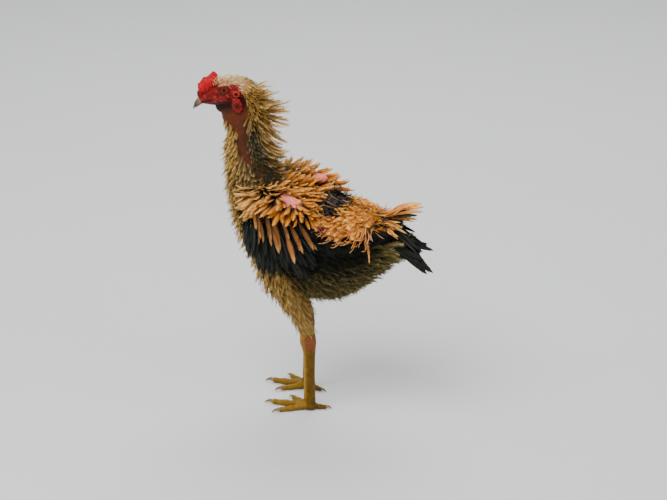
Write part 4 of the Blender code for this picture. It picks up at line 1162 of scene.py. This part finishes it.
def feather_material(name, tip_from, roughness, sheen, depth, shaded=0.45, shine=0.22):
    """Feather: painted shade over its root, partly its darker downy base, its own colour along the vane and
    its pale tip at the end.
    """
    finish = Finish(name)
    along = finish.stored("along", "Fac")
    edge = finish.sum("ABSOLUTE", finish.stored("across", "Fac"))
    reach = finish.sum("MULTIPLY_ADD", edge, 0.16, along)
    stirred = finish.sum("MULTIPLY_ADD", finish.grain(330.0, 3.0, 0.6), 0.30, reach)
    pale = finish.ranged(stirred, source=(tip_from + 0.10, tip_from + 0.36), curve="SMOOTHSTEP")
    # Painted shade over the root, where the feathers above it would shade it, partly its darker downy base.
    body = finish.ranged(along, (depth, 1.0), (0.0, shaded), "SMOOTHSTEP")
    tipped = finish.add("ShaderNodeMix", {"data_type": "RGBA"}, Factor=pale)
    colours = [socket for socket in tipped.inputs if socket.enabled and socket.name in ("A", "B")]
    finish.give(colours[0], finish.scaled(finish.stored("tint", "Vector"), body))
    finish.give(colours[1], finish.stored("tip", "Vector"))
    mixed = [socket for socket in tipped.outputs if socket.enabled][0]
    barbs = finish.grain(1500.0)
    return finish.done(
        Base_Color=finish.scaled(mixed, finish.ranged(barbs, (0.74, 1.24), (0.25, 0.75))),
        Normal=finish.bump(barbs, 0.4, 0.0003),
        Roughness=roughness,
        Sheen_Weight=sheen,
        Sheen_Roughness=0.5,
        Specular_IOR_Level=shine,
    )


def cover(form, along, angles, spacing, pace=0.8):
    """Staggered places over a stretch of a form: rows at a spacing, and places a spacing apart in them."""
    place, row = along[0], 0
    span = angles[1] - angles[0]
    while place <= along[1]:
        middle = sum(angles) / 2
        stretch = (form.skin(place + 0.1, middle) - form.skin(place - 0.1, middle)).length / 0.2
        edge = [form.skin(place, angles[0] + span * k / 8) for k in range(9)]
        arc = sum((after - before).length for before, after in zip(edge, edge[1:]))
        count = max(1, round(arc / spacing))
        for k in range(count):
            yield place, angles[0] + span * ((k + 0.25 + 0.5 * (row % 2)) / count)
        place += spacing * pace / max(stretch, 0.004)
        row += 1


# Down covers the body under everything: black on the flanks, black in the back's hollow partly as painted
# shade, black under the wings as painted shade beneath the coverts, olive brown on the belly and buff on
# the breast. It is missing on the bare patches.
BUFF_TIP, OLIVE_TIP = (0.62, 0.38, 0.095), (0.29, 0.215, 0.078)
BLACK, BLACK_TIP = (0.0050, 0.0065, 0.0032), (0.012, 0.014, 0.007)
BROWN, BROWN_TIP = (0.090, 0.042, 0.010), (0.170, 0.080, 0.020)
GREY, GREY_TIP = (0.090, 0.068, 0.030), (0.200, 0.150, 0.072)
RUST, RUST_TIP = (0.60, 0.210, 0.022), (0.82, 0.360, 0.055)
HACKLE, HACKLE_TIP = (0.50, 0.270, 0.056), (0.70, 0.44, 0.125)
DOWN_MATERIAL = feather_material("down", 0.70, 0.85, 0.0, 0.6, shine=0.08)


def between(value, low, high):
    """Where a value stands between two others, from 0 to 1."""
    return clamp((value - low) / (high - low))


def down_colours(place):
    """Colours of the down at a place of the body."""
    if place.y < -0.070 or (place.y < -0.045 and place.z < 0.20):
        return mix(BUFF, GREY, 0.4), BUFF
    if place.z > 0.225 and place.y < 0.002:
        return BROWN, BROWN_TIP
    if place.z > 0.236 and place.y > 0.046:
        return RUST, RUST_TIP
    if place.z < 0.185:
        return OLIVE, OLIVE_TIP
    # Black on the flanks; in the back's hollow the black is partly painted shade.
    return BLACK, BLACK_TIP


coat = Coat(41)
for mirror in (1, -1):
    for along, angle in cover(torso, (0.4, 11.6), (-90, 90), 0.0082):
        spot = torso.spot(along + coat.chance.uniform(-0.08, 0.08), angle, -0.0004, mirror)
        if not near_pink(spot[0], 1.1):
            coat.root(spot, *down_colours(spot[0] - ORIGIN), lift=14, size=0.8, wander=14)
    for ahead_step in range(17):
        for rise_step in range(13):
            ahead, rise = -0.96 + ahead_step * 0.12, -0.9 + rise_step * 0.15
            spot = wing_spot(ahead, rise, mirror)
            if math.hypot(ahead, rise) < 0.98 and not near_pink(spot[0]):
                # Under the wing the down is black as painted shade beneath the coverts, and brown at its
                # upper front.
                colours = (BROWN, BROWN_TIP) if rise > 0.05 and ahead < 0.5 else (BLACK, BLACK_TIP)
                coat.root(spot, *colours, turn=-60 * mirror, lift=8, size=0.75, wander=16)
    for along, angle in cover(neck, (0.8, 5.6), (-90, 40), 0.0046):
        if along <= 3.4 or angle <= -44:
            spot = neck.spot(along, angle, -0.0003, mirror)
            coat.root(spot, GREY, GREY_TIP, lift=20, size=0.7, wander=16)
    for along, angle in cover(neck, (3.0, 10.0), (-90, -48), 0.0034):
        spot = neck.spot(along, angle, -0.0003, mirror)
        size = coat.chance.uniform(1.0, 1.5) + 0.9 * between(along, 4.0, 6.0) * between(angle, -56, -76)
        grey = between(along, 7.2, 5.9) * between(angle, -90, -76)
        tint, tip = mix(mix(HACKLE, BROWN, 0.3), GREY, grey), mix(HACKLE_TIP, GREY_TIP, grey)
        coat.root(spot, tint, tip, lift=50, size=size * (1 - 0.5 * grey), wander=14)
tufts = [tuft(f"down_{k}", 0.016, 6, 34, 26, 60 + k) for k in range(4)]
coat.grow("coat_down", tufts, DOWN_MATERIAL)


# Crown and nape carry short, pale, hair-like feathers that start behind the comb, pass over the eyes
# and go down behind the ears. They lie backwards, close to the skin.
CROWN, CROWN_TIP = (0.96, 0.72, 0.40), (1.0, 0.88, 0.58)
ROSY, ROSY_TIP = (0.74, 0.36, 0.17), (0.86, 0.52, 0.28)
CROWN_MATERIAL = feather_material("crown_feathers", 0.62, 0.80, 0.06, 0.80, shaded=0.3, shine=0.1)


def head_spot(along, angle, mirror=1):
    """A spot of the head's skin, in the bird's frame."""
    point, out, ahead, unwrap = head.spot(along, angle, 0.0, mirror)
    turn = HEAD_FRAME.to_3x3()
    return HEAD_FRAME @ point, turn @ out, turn @ ahead, unwrap


coat = Coat(42)
for along, angle in cover(head, (2.9, 9.5), (-90, 270), 0.0022, 0.8):
    opening = 32 + 8 * (along - 2.7) + 95 * between(along, 5.6, 6.5)
    if abs(angle - 90) > opening:
        continue
    shade = between(along, 4.6, 7.4)
    rosy = between(abs(angle - 90) / opening, 0.3, 0.9) * between(along, 6.0, 4.5) * 0.8
    coat.root(
        head_spot(along, angle),
        mix(mix(CROWN, ROSY, rosy), HACKLE, shade),
        mix(mix(CROWN_TIP, ROSY_TIP, rosy), HACKLE_TIP, shade),
        lift=68 * between(along, 5.2, 3.0) - 10,
        size=(1.02 - 0.40 * shade) * coat.chance.uniform(0.8, 1.1),
        wander=12,
    )
hairs = [tuft(f"hair_{k}", 0.0120, 7, 22, 8, 80 + k, 0.00032, (0, 9)) for k in range(4)]
coat.grow("coat_crown", hairs, CROWN_MATERIAL)


# The hackle stands out behind the head and neck as a thick fringe of golden-buff feathers that curl
# upwards, brightest gold at the rear fringe partly by painted highlight. They are longest behind the head
# and short above the shoulders.
HACKLE_DULL_TIP = (0.46, 0.28, 0.095)
PLUME_MATERIAL = feather_material("soft_feathers", 0.62, 0.72, 0.08, 0.45)
coat = Coat(43)
for mirror in (1, -1):
    for along, angle in cover(head, (6.5, 9.3), (-70, 90), 0.0034, 0.85):
        rear = between(along, 6.5, 8.8)
        if angle > 58 + 24 * rear:
            continue
        coat.root(
            head_spot(along, angle, mirror),
            HACKLE,
            HACKLE_TIP,
            turn=-(24 + 34 * (1 - rear)) * mirror,
            lift=-8 + 20 * rear,
            size=(0.28 + 0.28 * rear) * coat.chance.uniform(0.8, 1.1),
            wander=9,
        )
    for along, angle in cover(neck, (1.3, 10.2), (-90, -16), 0.0029, 0.9):
        if angle > (-41 if 3.2 < along < 7.0 else -52):
            continue
        side_share = (angle + 90) / 49
        low, high = 1 - between(along, 2.0, 5.5), between(along, 8.4, 10.2)
        grey = between(along, 7.2, 5.9) * between(angle, -90, -78)
        rear = between(side_share, 0.55, 0.15)
        size = (1.34 - 0.86 * low**1.6) * (0.46 + 0.54 * rear) * (1 - 0.42 * grey)
        # Gold towards the rear fringe is partly painted highlight; the sides are duller, and buff low down.
        dull_and_unlit = max(0.45 * (1 - rear), 0.5 * low)
        coat.root(
            neck.spot(along, angle, -0.0005, mirror),
            mix(mix(HACKLE, BUFF, dull_and_unlit), GREY, grey),
            mix(mix(HACKLE_TIP, HACKLE_DULL_TIP, dull_and_unlit), GREY_TIP, grey),
            size=size * coat.chance.uniform(0.76, 1.0) * (1 - 0.50 * high),
            turn=-(4 + 16 * side_share) * mirror,
            lift=54 - 20 * side_share - 20 * grey - 24 * high + coat.chance.uniform(-10, 4),
            wander=8,
            roll=coat.chance.uniform(-50, 50) * rear,
        )
hackles = feather_kinds(
    "hackle", 4, 0.039, 0.0082, 26, 10, 100, web=0.56, point=2.4, stations=8, barbs=8, fray=0.30,
    lean=22, twist=16, blunt=0.55
)
coat.grow("coat_hackle", hackles, PLUME_MATERIAL)


# Breast and the front of the neck: thin buff feathers above, thicker and more frizzled on the crop.
# The bare strip down each side of the neck stays free of them.
breasts = feather_kinds(
    "breast", 4, 0.020, 0.0062, 34, 12, 120, web=0.45, point=2.2, stations=6, barbs=5, fray=0.35, lean=26
)
coat = Coat(44)
for mirror in (1, -1):
    for along, angle in cover(neck, (0.6, 7.0), (-36, 90), 0.0034, 0.85):
        edge = 2 - 30 * between(along, 4.6, 3.6) + 30 * between(along, 6.0, 7.0)
        if angle < edge + coat.chance.uniform(-7, 7):
            continue
        start = between(along, 7.0, 5.4)
        side = between(angle, 20, -20) * between(along, 1.0, 2.6)
        coat.root(
            neck.spot(along, angle, -0.0004, mirror),
            mix(BUFF, GREY, 0.6 * side),
            mix(BUFF_TIP, GREY_TIP, 0.5 * side),
            turn=-8 * mirror,
            lift=5 + 4 * start,
            size=(0.55 + 0.30 * start) * coat.chance.uniform(0.8, 1.15),
            wander=11,
        )
coat.grow("coat_neck_front", breasts, PLUME_MATERIAL)

coat = Coat(54)
for mirror in (1, -1):
    for along, angle in cover(torso, (0.5, 4.7), (-90, 60), 0.0054, 0.85):
        spot = torso.spot(along, angle, -0.0004, mirror)
        low = between(along, 2.6, 4.4)
        tint, tip = mix(BUFF, OLIVE, low), mix(BUFF_TIP, OLIVE_TIP, low)
        coat.root(spot, tint, tip, turn=-52 * mirror, lift=10, wander=13)
coat.grow("coat_breast", breasts, PLUME_MATERIAL)


# Wings: rows of short orange coverts with pale tips spread from a bare patch of the shoulder. Above it
# they are swept back, and below it they hang over longer straps, over black flight feathers.
ORANGE, ORANGE_DEEP, ORANGE_TIP = (0.80, 0.275, 0.022), (0.42, 0.120, 0.010), (0.88, 0.40, 0.062)
TAN, TAN_TIP = (0.80, 0.430, 0.110), (0.90, 0.57, 0.190)
STRAP, STRAP_TIP = (0.27, 0.098, 0.020), (0.54, 0.255, 0.070)
STRAP_BROWN, STRAP_BROWN_TIP = (0.08, 0.032, 0.008), (0.30, 0.13, 0.04)
COVERT_CENTRE = (0.36, 0.80)
PETAL_MATERIAL = feather_material("covert_feathers", 0.74, 0.74, 0.04, 0.24, shaded=0.58, shine=0.12)
QUILL_MATERIAL = feather_material("flight_feathers", 0.90, 0.42, 0.0, 0.8)


def wing_turn(ahead, rise):
    """How far a feather of the wing is turned down from the wing's backward direction."""
    offset = ahead - COVERT_CENTRE[0]
    back = offset * (34 if offset < 0 else 120)
    down = (COVERT_CENTRE[1] - rise) * 37 + 40
    swept = between(rise, 0.55, 0.80) * between(ahead, -0.60, -0.25)
    return math.degrees(math.atan2(down, back)) * (1 - swept) + 12 * swept


coat = Coat(45)
for side in (1, -1):
    for row in range(12):
        level = 1.0 - row * 0.088
        half = math.sqrt(max(0.04, 1 - level**2)) * 0.97
        count = round(8 + 18 * half)
        for step in range(count):
            ahead = -half + 2 * half * (step + 0.5 * (row % 2)) / (count - 0.5)
            ahead += coat.chance.uniform(-0.04, 0.04)
            rise = level + coat.chance.uniform(-0.045, 0.045)
            top = between(rise, 0.1, 0.85)
            spot = wing_spot(ahead, rise, side, 0.0016)
            if near_pink(spot[0]) or not -0.46 - 0.42 * top < ahead < 0.66 + 0.24 * top:
                continue
            if (level < 0.38 and ahead > level - 0.40) or (top > 0.8 and near_pink(spot[0], 1.0, 0.012)):
                continue
            front = between(rise * 0.4 - ahead, 0.0, 0.75)
            deep = coat.chance.random() * 0.7 + 0.2 * between(rise, 0.5, 0.85)
            coat.root(
                spot,
                mix(mix(ORANGE, ORANGE_DEEP, deep), TAN, front),
                mix(ORANGE_TIP, TAN_TIP, front),
                turn=-wing_turn(ahead, rise) * side,
                lift=12 + (18 if side < 0 else 4) * top,
                size=(0.94 - 0.14 * front) * coat.chance.uniform(0.78, 1.15),
                wander=11,
                roll=30 * top if side < 0 else 0,
            )
petals = feather_kinds(
    "petal", 4, 0.0235, 0.0082, 6, 15, 140, web=0.93, point=2.0, stations=11, barbs=6, fray=0.10,
    lean=15, cup=0.03, wave=0.05, blunt=0.90
)
coat.grow("coat_coverts", petals, PETAL_MATERIAL)

coat = Coat(46)
for side in (1, -1):
    for row, (rise, count) in enumerate(((0.24, 7), (0.02, 8))):
        for step in range(count):
            share = (step + 0.5 * row) / (count - 0.5)
            spot = wing_spot(-0.40 + 1.00 * share, rise + coat.chance.uniform(-0.07, 0.07), side, 0.0026)
            brown = coat.chance.random() * 0.8
            coat.root(
                spot,
                mix(STRAP, STRAP_BROWN, brown),
                mix(STRAP_TIP, STRAP_BROWN_TIP, brown),
                turn=-(62 - 16 * share) * side,
                lift=1,
                size=coat.chance.uniform(0.62, 1.12),
                wander=7,
            )
straps = feather_kinds(
    "strap", 3, 0.045, 0.0070, 2, 8, 160, web=0.94, point=4.2, stations=12, barbs=3, fray=0.05,
    lean=14, cup=0.05, twist=14, wave=0.03, blunt=0.8
)
coat.grow("coat_straps", straps, PETAL_MATERIAL)

coat = Coat(47)
for side in (1, -1):
    for rise, count, size in ((0.12, 12, 0.75), (-0.12, 13, 0.8), (-0.34, 15, 0.9), (-0.52, 14, 0.95)):
        for step in range(count):
            share = step / (count - 1)
            spot = wing_spot(-0.66 + 1.32 * share, rise, side, 0.0006)
            grown = size * (0.66 + 0.38 * math.sin(math.pi * share**0.8))
            coat.root(spot, BLACK, BLACK_TIP, turn=-(66 - 26 * share) * side, size=grown, wander=3)
quills = feather_kinds(
    "flight", 3, 0.055, 0.0110, 2, 4, 170, web=0.90, point=4.0, stations=10, barbs=6, fray=0.05,
    cup=0.12, wave=0.04
)
coat.grow("coat_flights", quills, QUILL_MATERIAL)


# Back: the shoulders wear orange-brown feathers swept backwards. Behind them the back is nearly bare,
# with black down in its hollow that is partly painted shade, and a few dark strands across.
# Feathers here would hide the bare knob of the right shoulder, so they are short and lie flat.
SHORT_AT, SHORT_REACH = Vector((-0.017, -0.009, 0.285)), 0.021
coat = Coat(48)
for mirror in (1, -1):
    for along, angle in cover(torso, (0.9, 6.3), (42, 90), 0.0058, 0.9):
        spot = torso.spot(along, angle, 0.0004, mirror)
        if near_pink(spot[0]) or near_pink(spot[0], 1.0, 0.012):
            continue
        short = (spot[0] - ORIGIN - SHORT_AT).length < SHORT_REACH
        coat.root(
            spot,
            mix(mix(ORANGE_DEEP, ORANGE, 0.6), BUFF, between(along, 2.4, 1.2)),
            mix(ORANGE_TIP, TAN_TIP, coat.chance.random() * 0.7),
            turn=-10 * mirror,
            lift=2 if short else 18 - 8 * mirror,
            size=0.50 if short else 1.0 - 0.05 * mirror,
            wander=11,
            roll=22 - 8 * mirror,
        )
    for along, angle in cover(torso, (6.4, 7.2), (50, 90), 0.0080, 0.9):
        if coat.chance.random() < 0.3:
            spot, tint = torso.spot(along, angle, 0.0, mirror), mix(BLACK, ORANGE_DEEP, 0.3)
            coat.root(spot, tint, ORANGE_DEEP, turn=coat.chance.uniform(-90, 90), lift=8, size=0.7)
backs = feather_kinds(
    "back", 4, 0.0220, 0.0080, 14, 12, 180, web=0.93, point=2.0, stations=10, barbs=5, fray=0.10,
    lean=16, cup=0.03, wave=0.05, blunt=0.90
)
coat.grow("coat_back", backs, PETAL_MATERIAL)


# Saddle: soft orange feathers cover the rump, and long thin ones among them curl forwards and down,
# so that their tips point at the bird's head and hang over the black flank.
GOLD, GOLD_TIP = (1.0, 0.385, 0.038), (1.0, 0.475, 0.080)
STRAND, STRAND_TIP = (0.50, 0.20, 0.07), (0.80, 0.40, 0.16)
coat = Coat(49)
for mirror in (1, -1):
    for along, angle in cover(torso, (6.9, 10.2), (38, 90), 0.0036, 0.85):
        high, fore = between(angle, 30, 88), between(along, 8.4, 7.0)
        if (along < 7.7 and high > 0.45) or angle < max(42 + 22 * (along - 8.3), 56 - 22 * (along - 6.9)):
            continue
        length = 0.62 + 0.34 * between(along, 6.9, 8.6)
        coat.root(
            torso.spot(along, angle, 0.0010, mirror),
            mix(GOLD, ORANGE_DEEP, coat.chance.random() ** 4),
            mix(GOLD_TIP, ORANGE, 0.7 * coat.chance.random()),
            turn=(-(92 + 52 * high + 26 * fore) + coat.chance.uniform(-24, 24)) * mirror,
            size=length * coat.chance.uniform(0.78, 1.12) * (1 - 0.40 * high),
            lift=13 - 32 * high,
            wander=7,
            roll=10 * mirror,
        )
rumps = feather_kinds(
    "rump", 4, 0.027, 0.0118, 6, 14, 190, web=0.88, point=2.6, stations=9, barbs=8, fray=0.15,
    lean=18, twist=12, cup=0.04, wave=0.05, blunt=0.6
)
coat.grow("coat_saddle", rumps, PLUME_MATERIAL)

# Loose strands: how many, where along and around the body, turn, colours, lift, size and wander.
LOOSE_STRANDS = (
    (8, (8.9, 9.7), (34, 60), (50, 115), (0.56, 0.25, 0.12), (0.85, 0.50, 0.28), 16, 0.5, 14),
    (11, (6.6, 7.6), (52, 86), (120, 170), (0.16, 0.07, 0.025), (0.36, 0.17, 0.07), 12, 0.6, 12),
)
coat = Coat(55)
for mirror in (1, -1):
    for step in range(54):
        share = coat.chance.random()
        spot = torso.spot(7.1 + 2.0 * share, coat.chance.uniform(34, 56), 0.0016, mirror)
        pale = coat.chance.random()
        turn = -(72 + 62 * (1 - share)) + coat.chance.uniform(-16, 16)
        coat.root(
            spot,
            mix(ORANGE, STRAND, pale),
            mix(ORANGE_TIP, STRAND_TIP, pale),
            turn=turn * mirror,
            lift=coat.chance.uniform(0, 14),
            size=0.55 + 0.75 * share * coat.chance.random(),
            wander=10,
            roll=coat.chance.uniform(30, 90) * mirror,
        )
    for count, alongs, angles, turns, tint, tip, lift, size, wander in LOOSE_STRANDS:
        for step in range(count):
            spot = torso.spot(coat.chance.uniform(*alongs), coat.chance.uniform(*angles), 0.0012, mirror)
            turn = -coat.chance.uniform(*turns) * mirror
            coat.root(spot, tint, tip, turn=turn, lift=lift, size=size, wander=wander)
curls = feather_kinds(
    "curl", 4, 0.040, 0.0044, 34, 24, 240, web=0.70, point=1.7, stations=12, barbs=5, fray=0.40,
    lean=13, twist=30, bend=1.3, blunt=0.8
)
coat.grow("coat_saddle_strands", curls, PLUME_MATERIAL)


# Tail: a small fan of black quills that points back and down, under orange and buff coverts. A few
# long coverts arch over it, each on a black copy of itself that is its painted shadow.
def tail_root(coat, point, lie, out, tint, tip, size, wander):
    """A root on the tail's flesh with its feather laid along a given direction."""
    out = (out - lie * out.dot(lie)).normalized()
    left, low, width, height = tail.unwrap
    spread = math.atan2(out.z, out.x) / math.pi * 0.5 + 0.5
    place = (left + width * spread, low + height * between(point.y, 0.07, 0.12))
    coat.root((ORIGIN + point, out, lie, place), tint, tip, size=size, wander=wander)


coat = Coat(50)
for side in (1, -1):
    for tier in range(2):
        for step in range(8):
            share = step / 7
            slope = math.radians(-9 - 25 * min(1.0, share * 1.7) + 2 * tier)
            spread = 0.24 - 0.16 * share + 0.07 * tier
            lie = Vector((spread * side, math.cos(slope), math.sin(slope))).normalized()
            point = Vector(((0.0120 - 0.007 * share) * side, 0.0890 + 0.005 * tier, 0.2160 + 0.027 * share))
            size = (0.76 + 0.24 * math.sin(math.pi * min(1.0, share + 0.15))) * (1 - 0.12 * tier)
            size *= 0.98 + 0.14 * side
            tail_root(coat, point, lie, Vector((side, 0, 0.1)), BLACK, BLACK_TIP, size, 3)
quills = feather_kinds(
    "quill", 3, 0.064, 0.0120, 3, 5, 200, web=0.92, point=3.0, stations=10, barbs=6, fray=0.05,
    cup=0.08, wave=0.02, blunt=0.7
)
coat.grow("coat_quills", quills, QUILL_MATERIAL)

coat = Coat(51)
for side in (1, -1):
    for step in range(26):
        spread = math.radians(4 + 72 * coat.chance.random())
        across, up = math.sin(spread), math.cos(spread)
        out = Vector((across * side, 0.15, up)).normalized()
        slope = math.radians(8 - 34 * across + coat.chance.uniform(-8, 8))
        lie = Vector((0.12 * side * across, math.cos(slope), math.sin(slope))).normalized()
        point = Vector((0.012 * across * side, 0.074 + 0.018 * (step / 25), 0.238 + 0.014 * up))
        dark = coat.chance.random()
        tint, tip = mix(ORANGE, ORANGE_DEEP, dark), mix(TAN_TIP, ORANGE_TIP, dark)
        tail_root(coat, point, lie, out, tint, tip, coat.chance.uniform(0.45, 0.72), 8)
strips = feather_kinds(
    "strip", 4, 0.048, 0.0066, 8, 14, 210, web=0.78, point=2.2, stations=9, barbs=7, fray=0.25,
    lean=22, twist=22, cup=0.14, blunt=0.75
)
coat.grow("coat_tail_coverts", strips, PLUME_MATERIAL)

coat = Coat(56)
for side, slope, size in ((1, 40, 0.95), (1, 31, 0.95), (-1, 43, 0.82), (1, 18, 0.80), (-1, 30, 0.85)):
    for shadow_copy in (0, 1):
        pitch = math.radians(slope - 3 * shadow_copy)
        lie = Vector((0.05 * side, math.cos(pitch), math.sin(pitch))).normalized()
        point = Vector((0.005 * side, 0.084, 0.247 - 0.0012 * shadow_copy))
        # Under each bow lies a black copy of it, its painted shadow.
        tints = (BLACK, BLACK_TIP) if shadow_copy else (mix(ORANGE, ORANGE_DEEP, 0.5), ORANGE_TIP)
        tail_root(coat, point, lie, Vector((0.45, 0, 1)), *tints, size * (1 - 0.2 * shadow_copy), 2)
bows = feather_kinds(
    "bow", 2, 0.058, 0.0112, -34, -8, 250, web=0.88, point=3.0, stations=12, barbs=6, fray=0.10,
    lean=18, cup=0.12, bend=1.2, blunt=0.6
)
coat.grow("coat_tail_bows", bows, PLUME_MATERIAL)


# Belly and vent: loose, soft fluff that is more barbs than web, olive brown below and streaked with
# straw at the rear.
STRAW_TIP = (0.44, 0.34, 0.120)
coat = Coat(52)
for mirror in (1, -1):
    for along, angle in cover(torso, (3.4, 11.5), (-90, 8), 0.0064, 0.85):
        spot = torso.spot(along, angle, -0.0004, mirror)
        low, rear = between(angle, 0, -40), between(along, 8.6, 10.2)
        coat.root(
            spot,
            mix(mix(BLACK, OLIVE, low), OLIVE, rear),
            mix(mix(BLACK_TIP, OLIVE_TIP, low), STRAW_TIP, rear * coat.chance.random()),
            turn=-(26 - 16 * rear) * mirror,
            lift=8 + 12 * rear,
            size=0.72 + 0.42 * rear,
            wander=12,
        )
fluffs = feather_kinds(
    "fluff", 4, 0.024, 0.0080, 14, 12, 220, web=0.30, point=2.0, stations=5, barbs=7, fray=0.45, lean=30
)
coat.grow("coat_belly", fluffs, DOWN_MATERIAL)


# Thighs: buff feathers in loose streaks that lie down the leg and end at the hock, turned olive behind by
# painted shade, and thinner towards their end.
coat = Coat(53)
for form in thighs.values():
    for along, angle in cover(form, (0.5, 5.3), (-180, 180), 0.0050, 0.85):
        if along > 4.4 and coat.chance.random() < 0.5:
            continue
        front = 0.5 - 0.5 * math.sin(math.radians(angle))
        coat.root(
            form.spot(along, angle, -0.0004),
            # Painted shade turns the back of the thigh olive and its tips less pale.
            mix(mix(BUFF, OLIVE, 0.5), BUFF, front),
            mix(BUFF, BUFF_TIP, 0.3 + 0.7 * front),
            lift=8,
            size=1.25 - 0.15 * along,
            wander=12,
        )
streaks = feather_kinds(
    "streak", 4, 0.022, 0.0054, 14, 12, 230, web=0.45, point=2.2, stations=6, barbs=6, fray=0.35, lean=24
)
coat.grow("coat_thighs", streaks, PLUME_MATERIAL)


# Floor, lights and camera: a plain pale floor under soft studio light, seen from the bird's left and
# a little in front, as in the photograph.
VIEW_AZIMUTH, VIEW_ELEVATION, VIEW_DISTANCE, VIEW_WIDTH = 110.0, 20.0, 3.0, 0.8004
VIEW_TARGET = ORIGIN + Vector((0, 0.022, 0.198))
# Square lights: name, azimuth, elevation, distance, size and power.
LIGHTS = (
    ("key", 70, 58, 2.4, 1.6, 68),
    ("fill", 170, 30, 2.6, 2.0, 16),
    ("back", 285, 50, 2.4, 1.4, 34),
)
SKY, SKY_STRENGTH = (0.92, 0.95, 1.0, 1), 0.55


def floor_material():
    """Pale studio floor, very slightly mottled."""
    finish = Finish("studio_floor")
    return finish.done(Base_Color=finish.ranged(finish.grain(2.0, 3.0), (0.66, 0.70)), Roughness=0.8)


def aimed(name, data, azimuth, elevation, distance):
    """A light or camera that faces the bird from an azimuth and elevation."""
    a, e = math.radians(azimuth), math.radians(elevation)
    made = bpy.data.objects.new(name, data)
    bpy.context.collection.objects.link(made)
    towards = Vector((math.sin(a) * math.cos(e), -math.cos(a) * math.cos(e), math.sin(e)))
    made.location = VIEW_TARGET + towards * distance
    made.rotation_euler = (VIEW_TARGET - made.location).to_track_quat("-Z", "Y").to_euler()
    return made


shape = bmesh.new()
bmesh.ops.create_grid(shape, x_segments=2, y_segments=2, size=30)
floor = shape_object("floor", shape)
floor.data.materials.append(floor_material())
for name, azimuth, elevation, distance, size, power in LIGHTS:
    lamp = bpy.data.lights.new(name, "AREA")
    lamp.size, lamp.energy = size, power
    aimed(name, lamp, azimuth, elevation, distance)
world = bpy.data.worlds.new("studio")
world.use_nodes = True
world.node_tree.nodes["Background"].inputs["Color"].default_value = SKY
world.node_tree.nodes["Background"].inputs["Strength"].default_value = SKY_STRENGTH
bpy.context.scene.world = world

lens = bpy.data.cameras.new("photo_view")
lens.sensor_width = 36
lens.lens = lens.sensor_width * VIEW_DISTANCE / VIEW_WIDTH
bpy.context.scene.camera = aimed("photo_view", lens, VIEW_AZIMUTH, VIEW_ELEVATION, VIEW_DISTANCE)
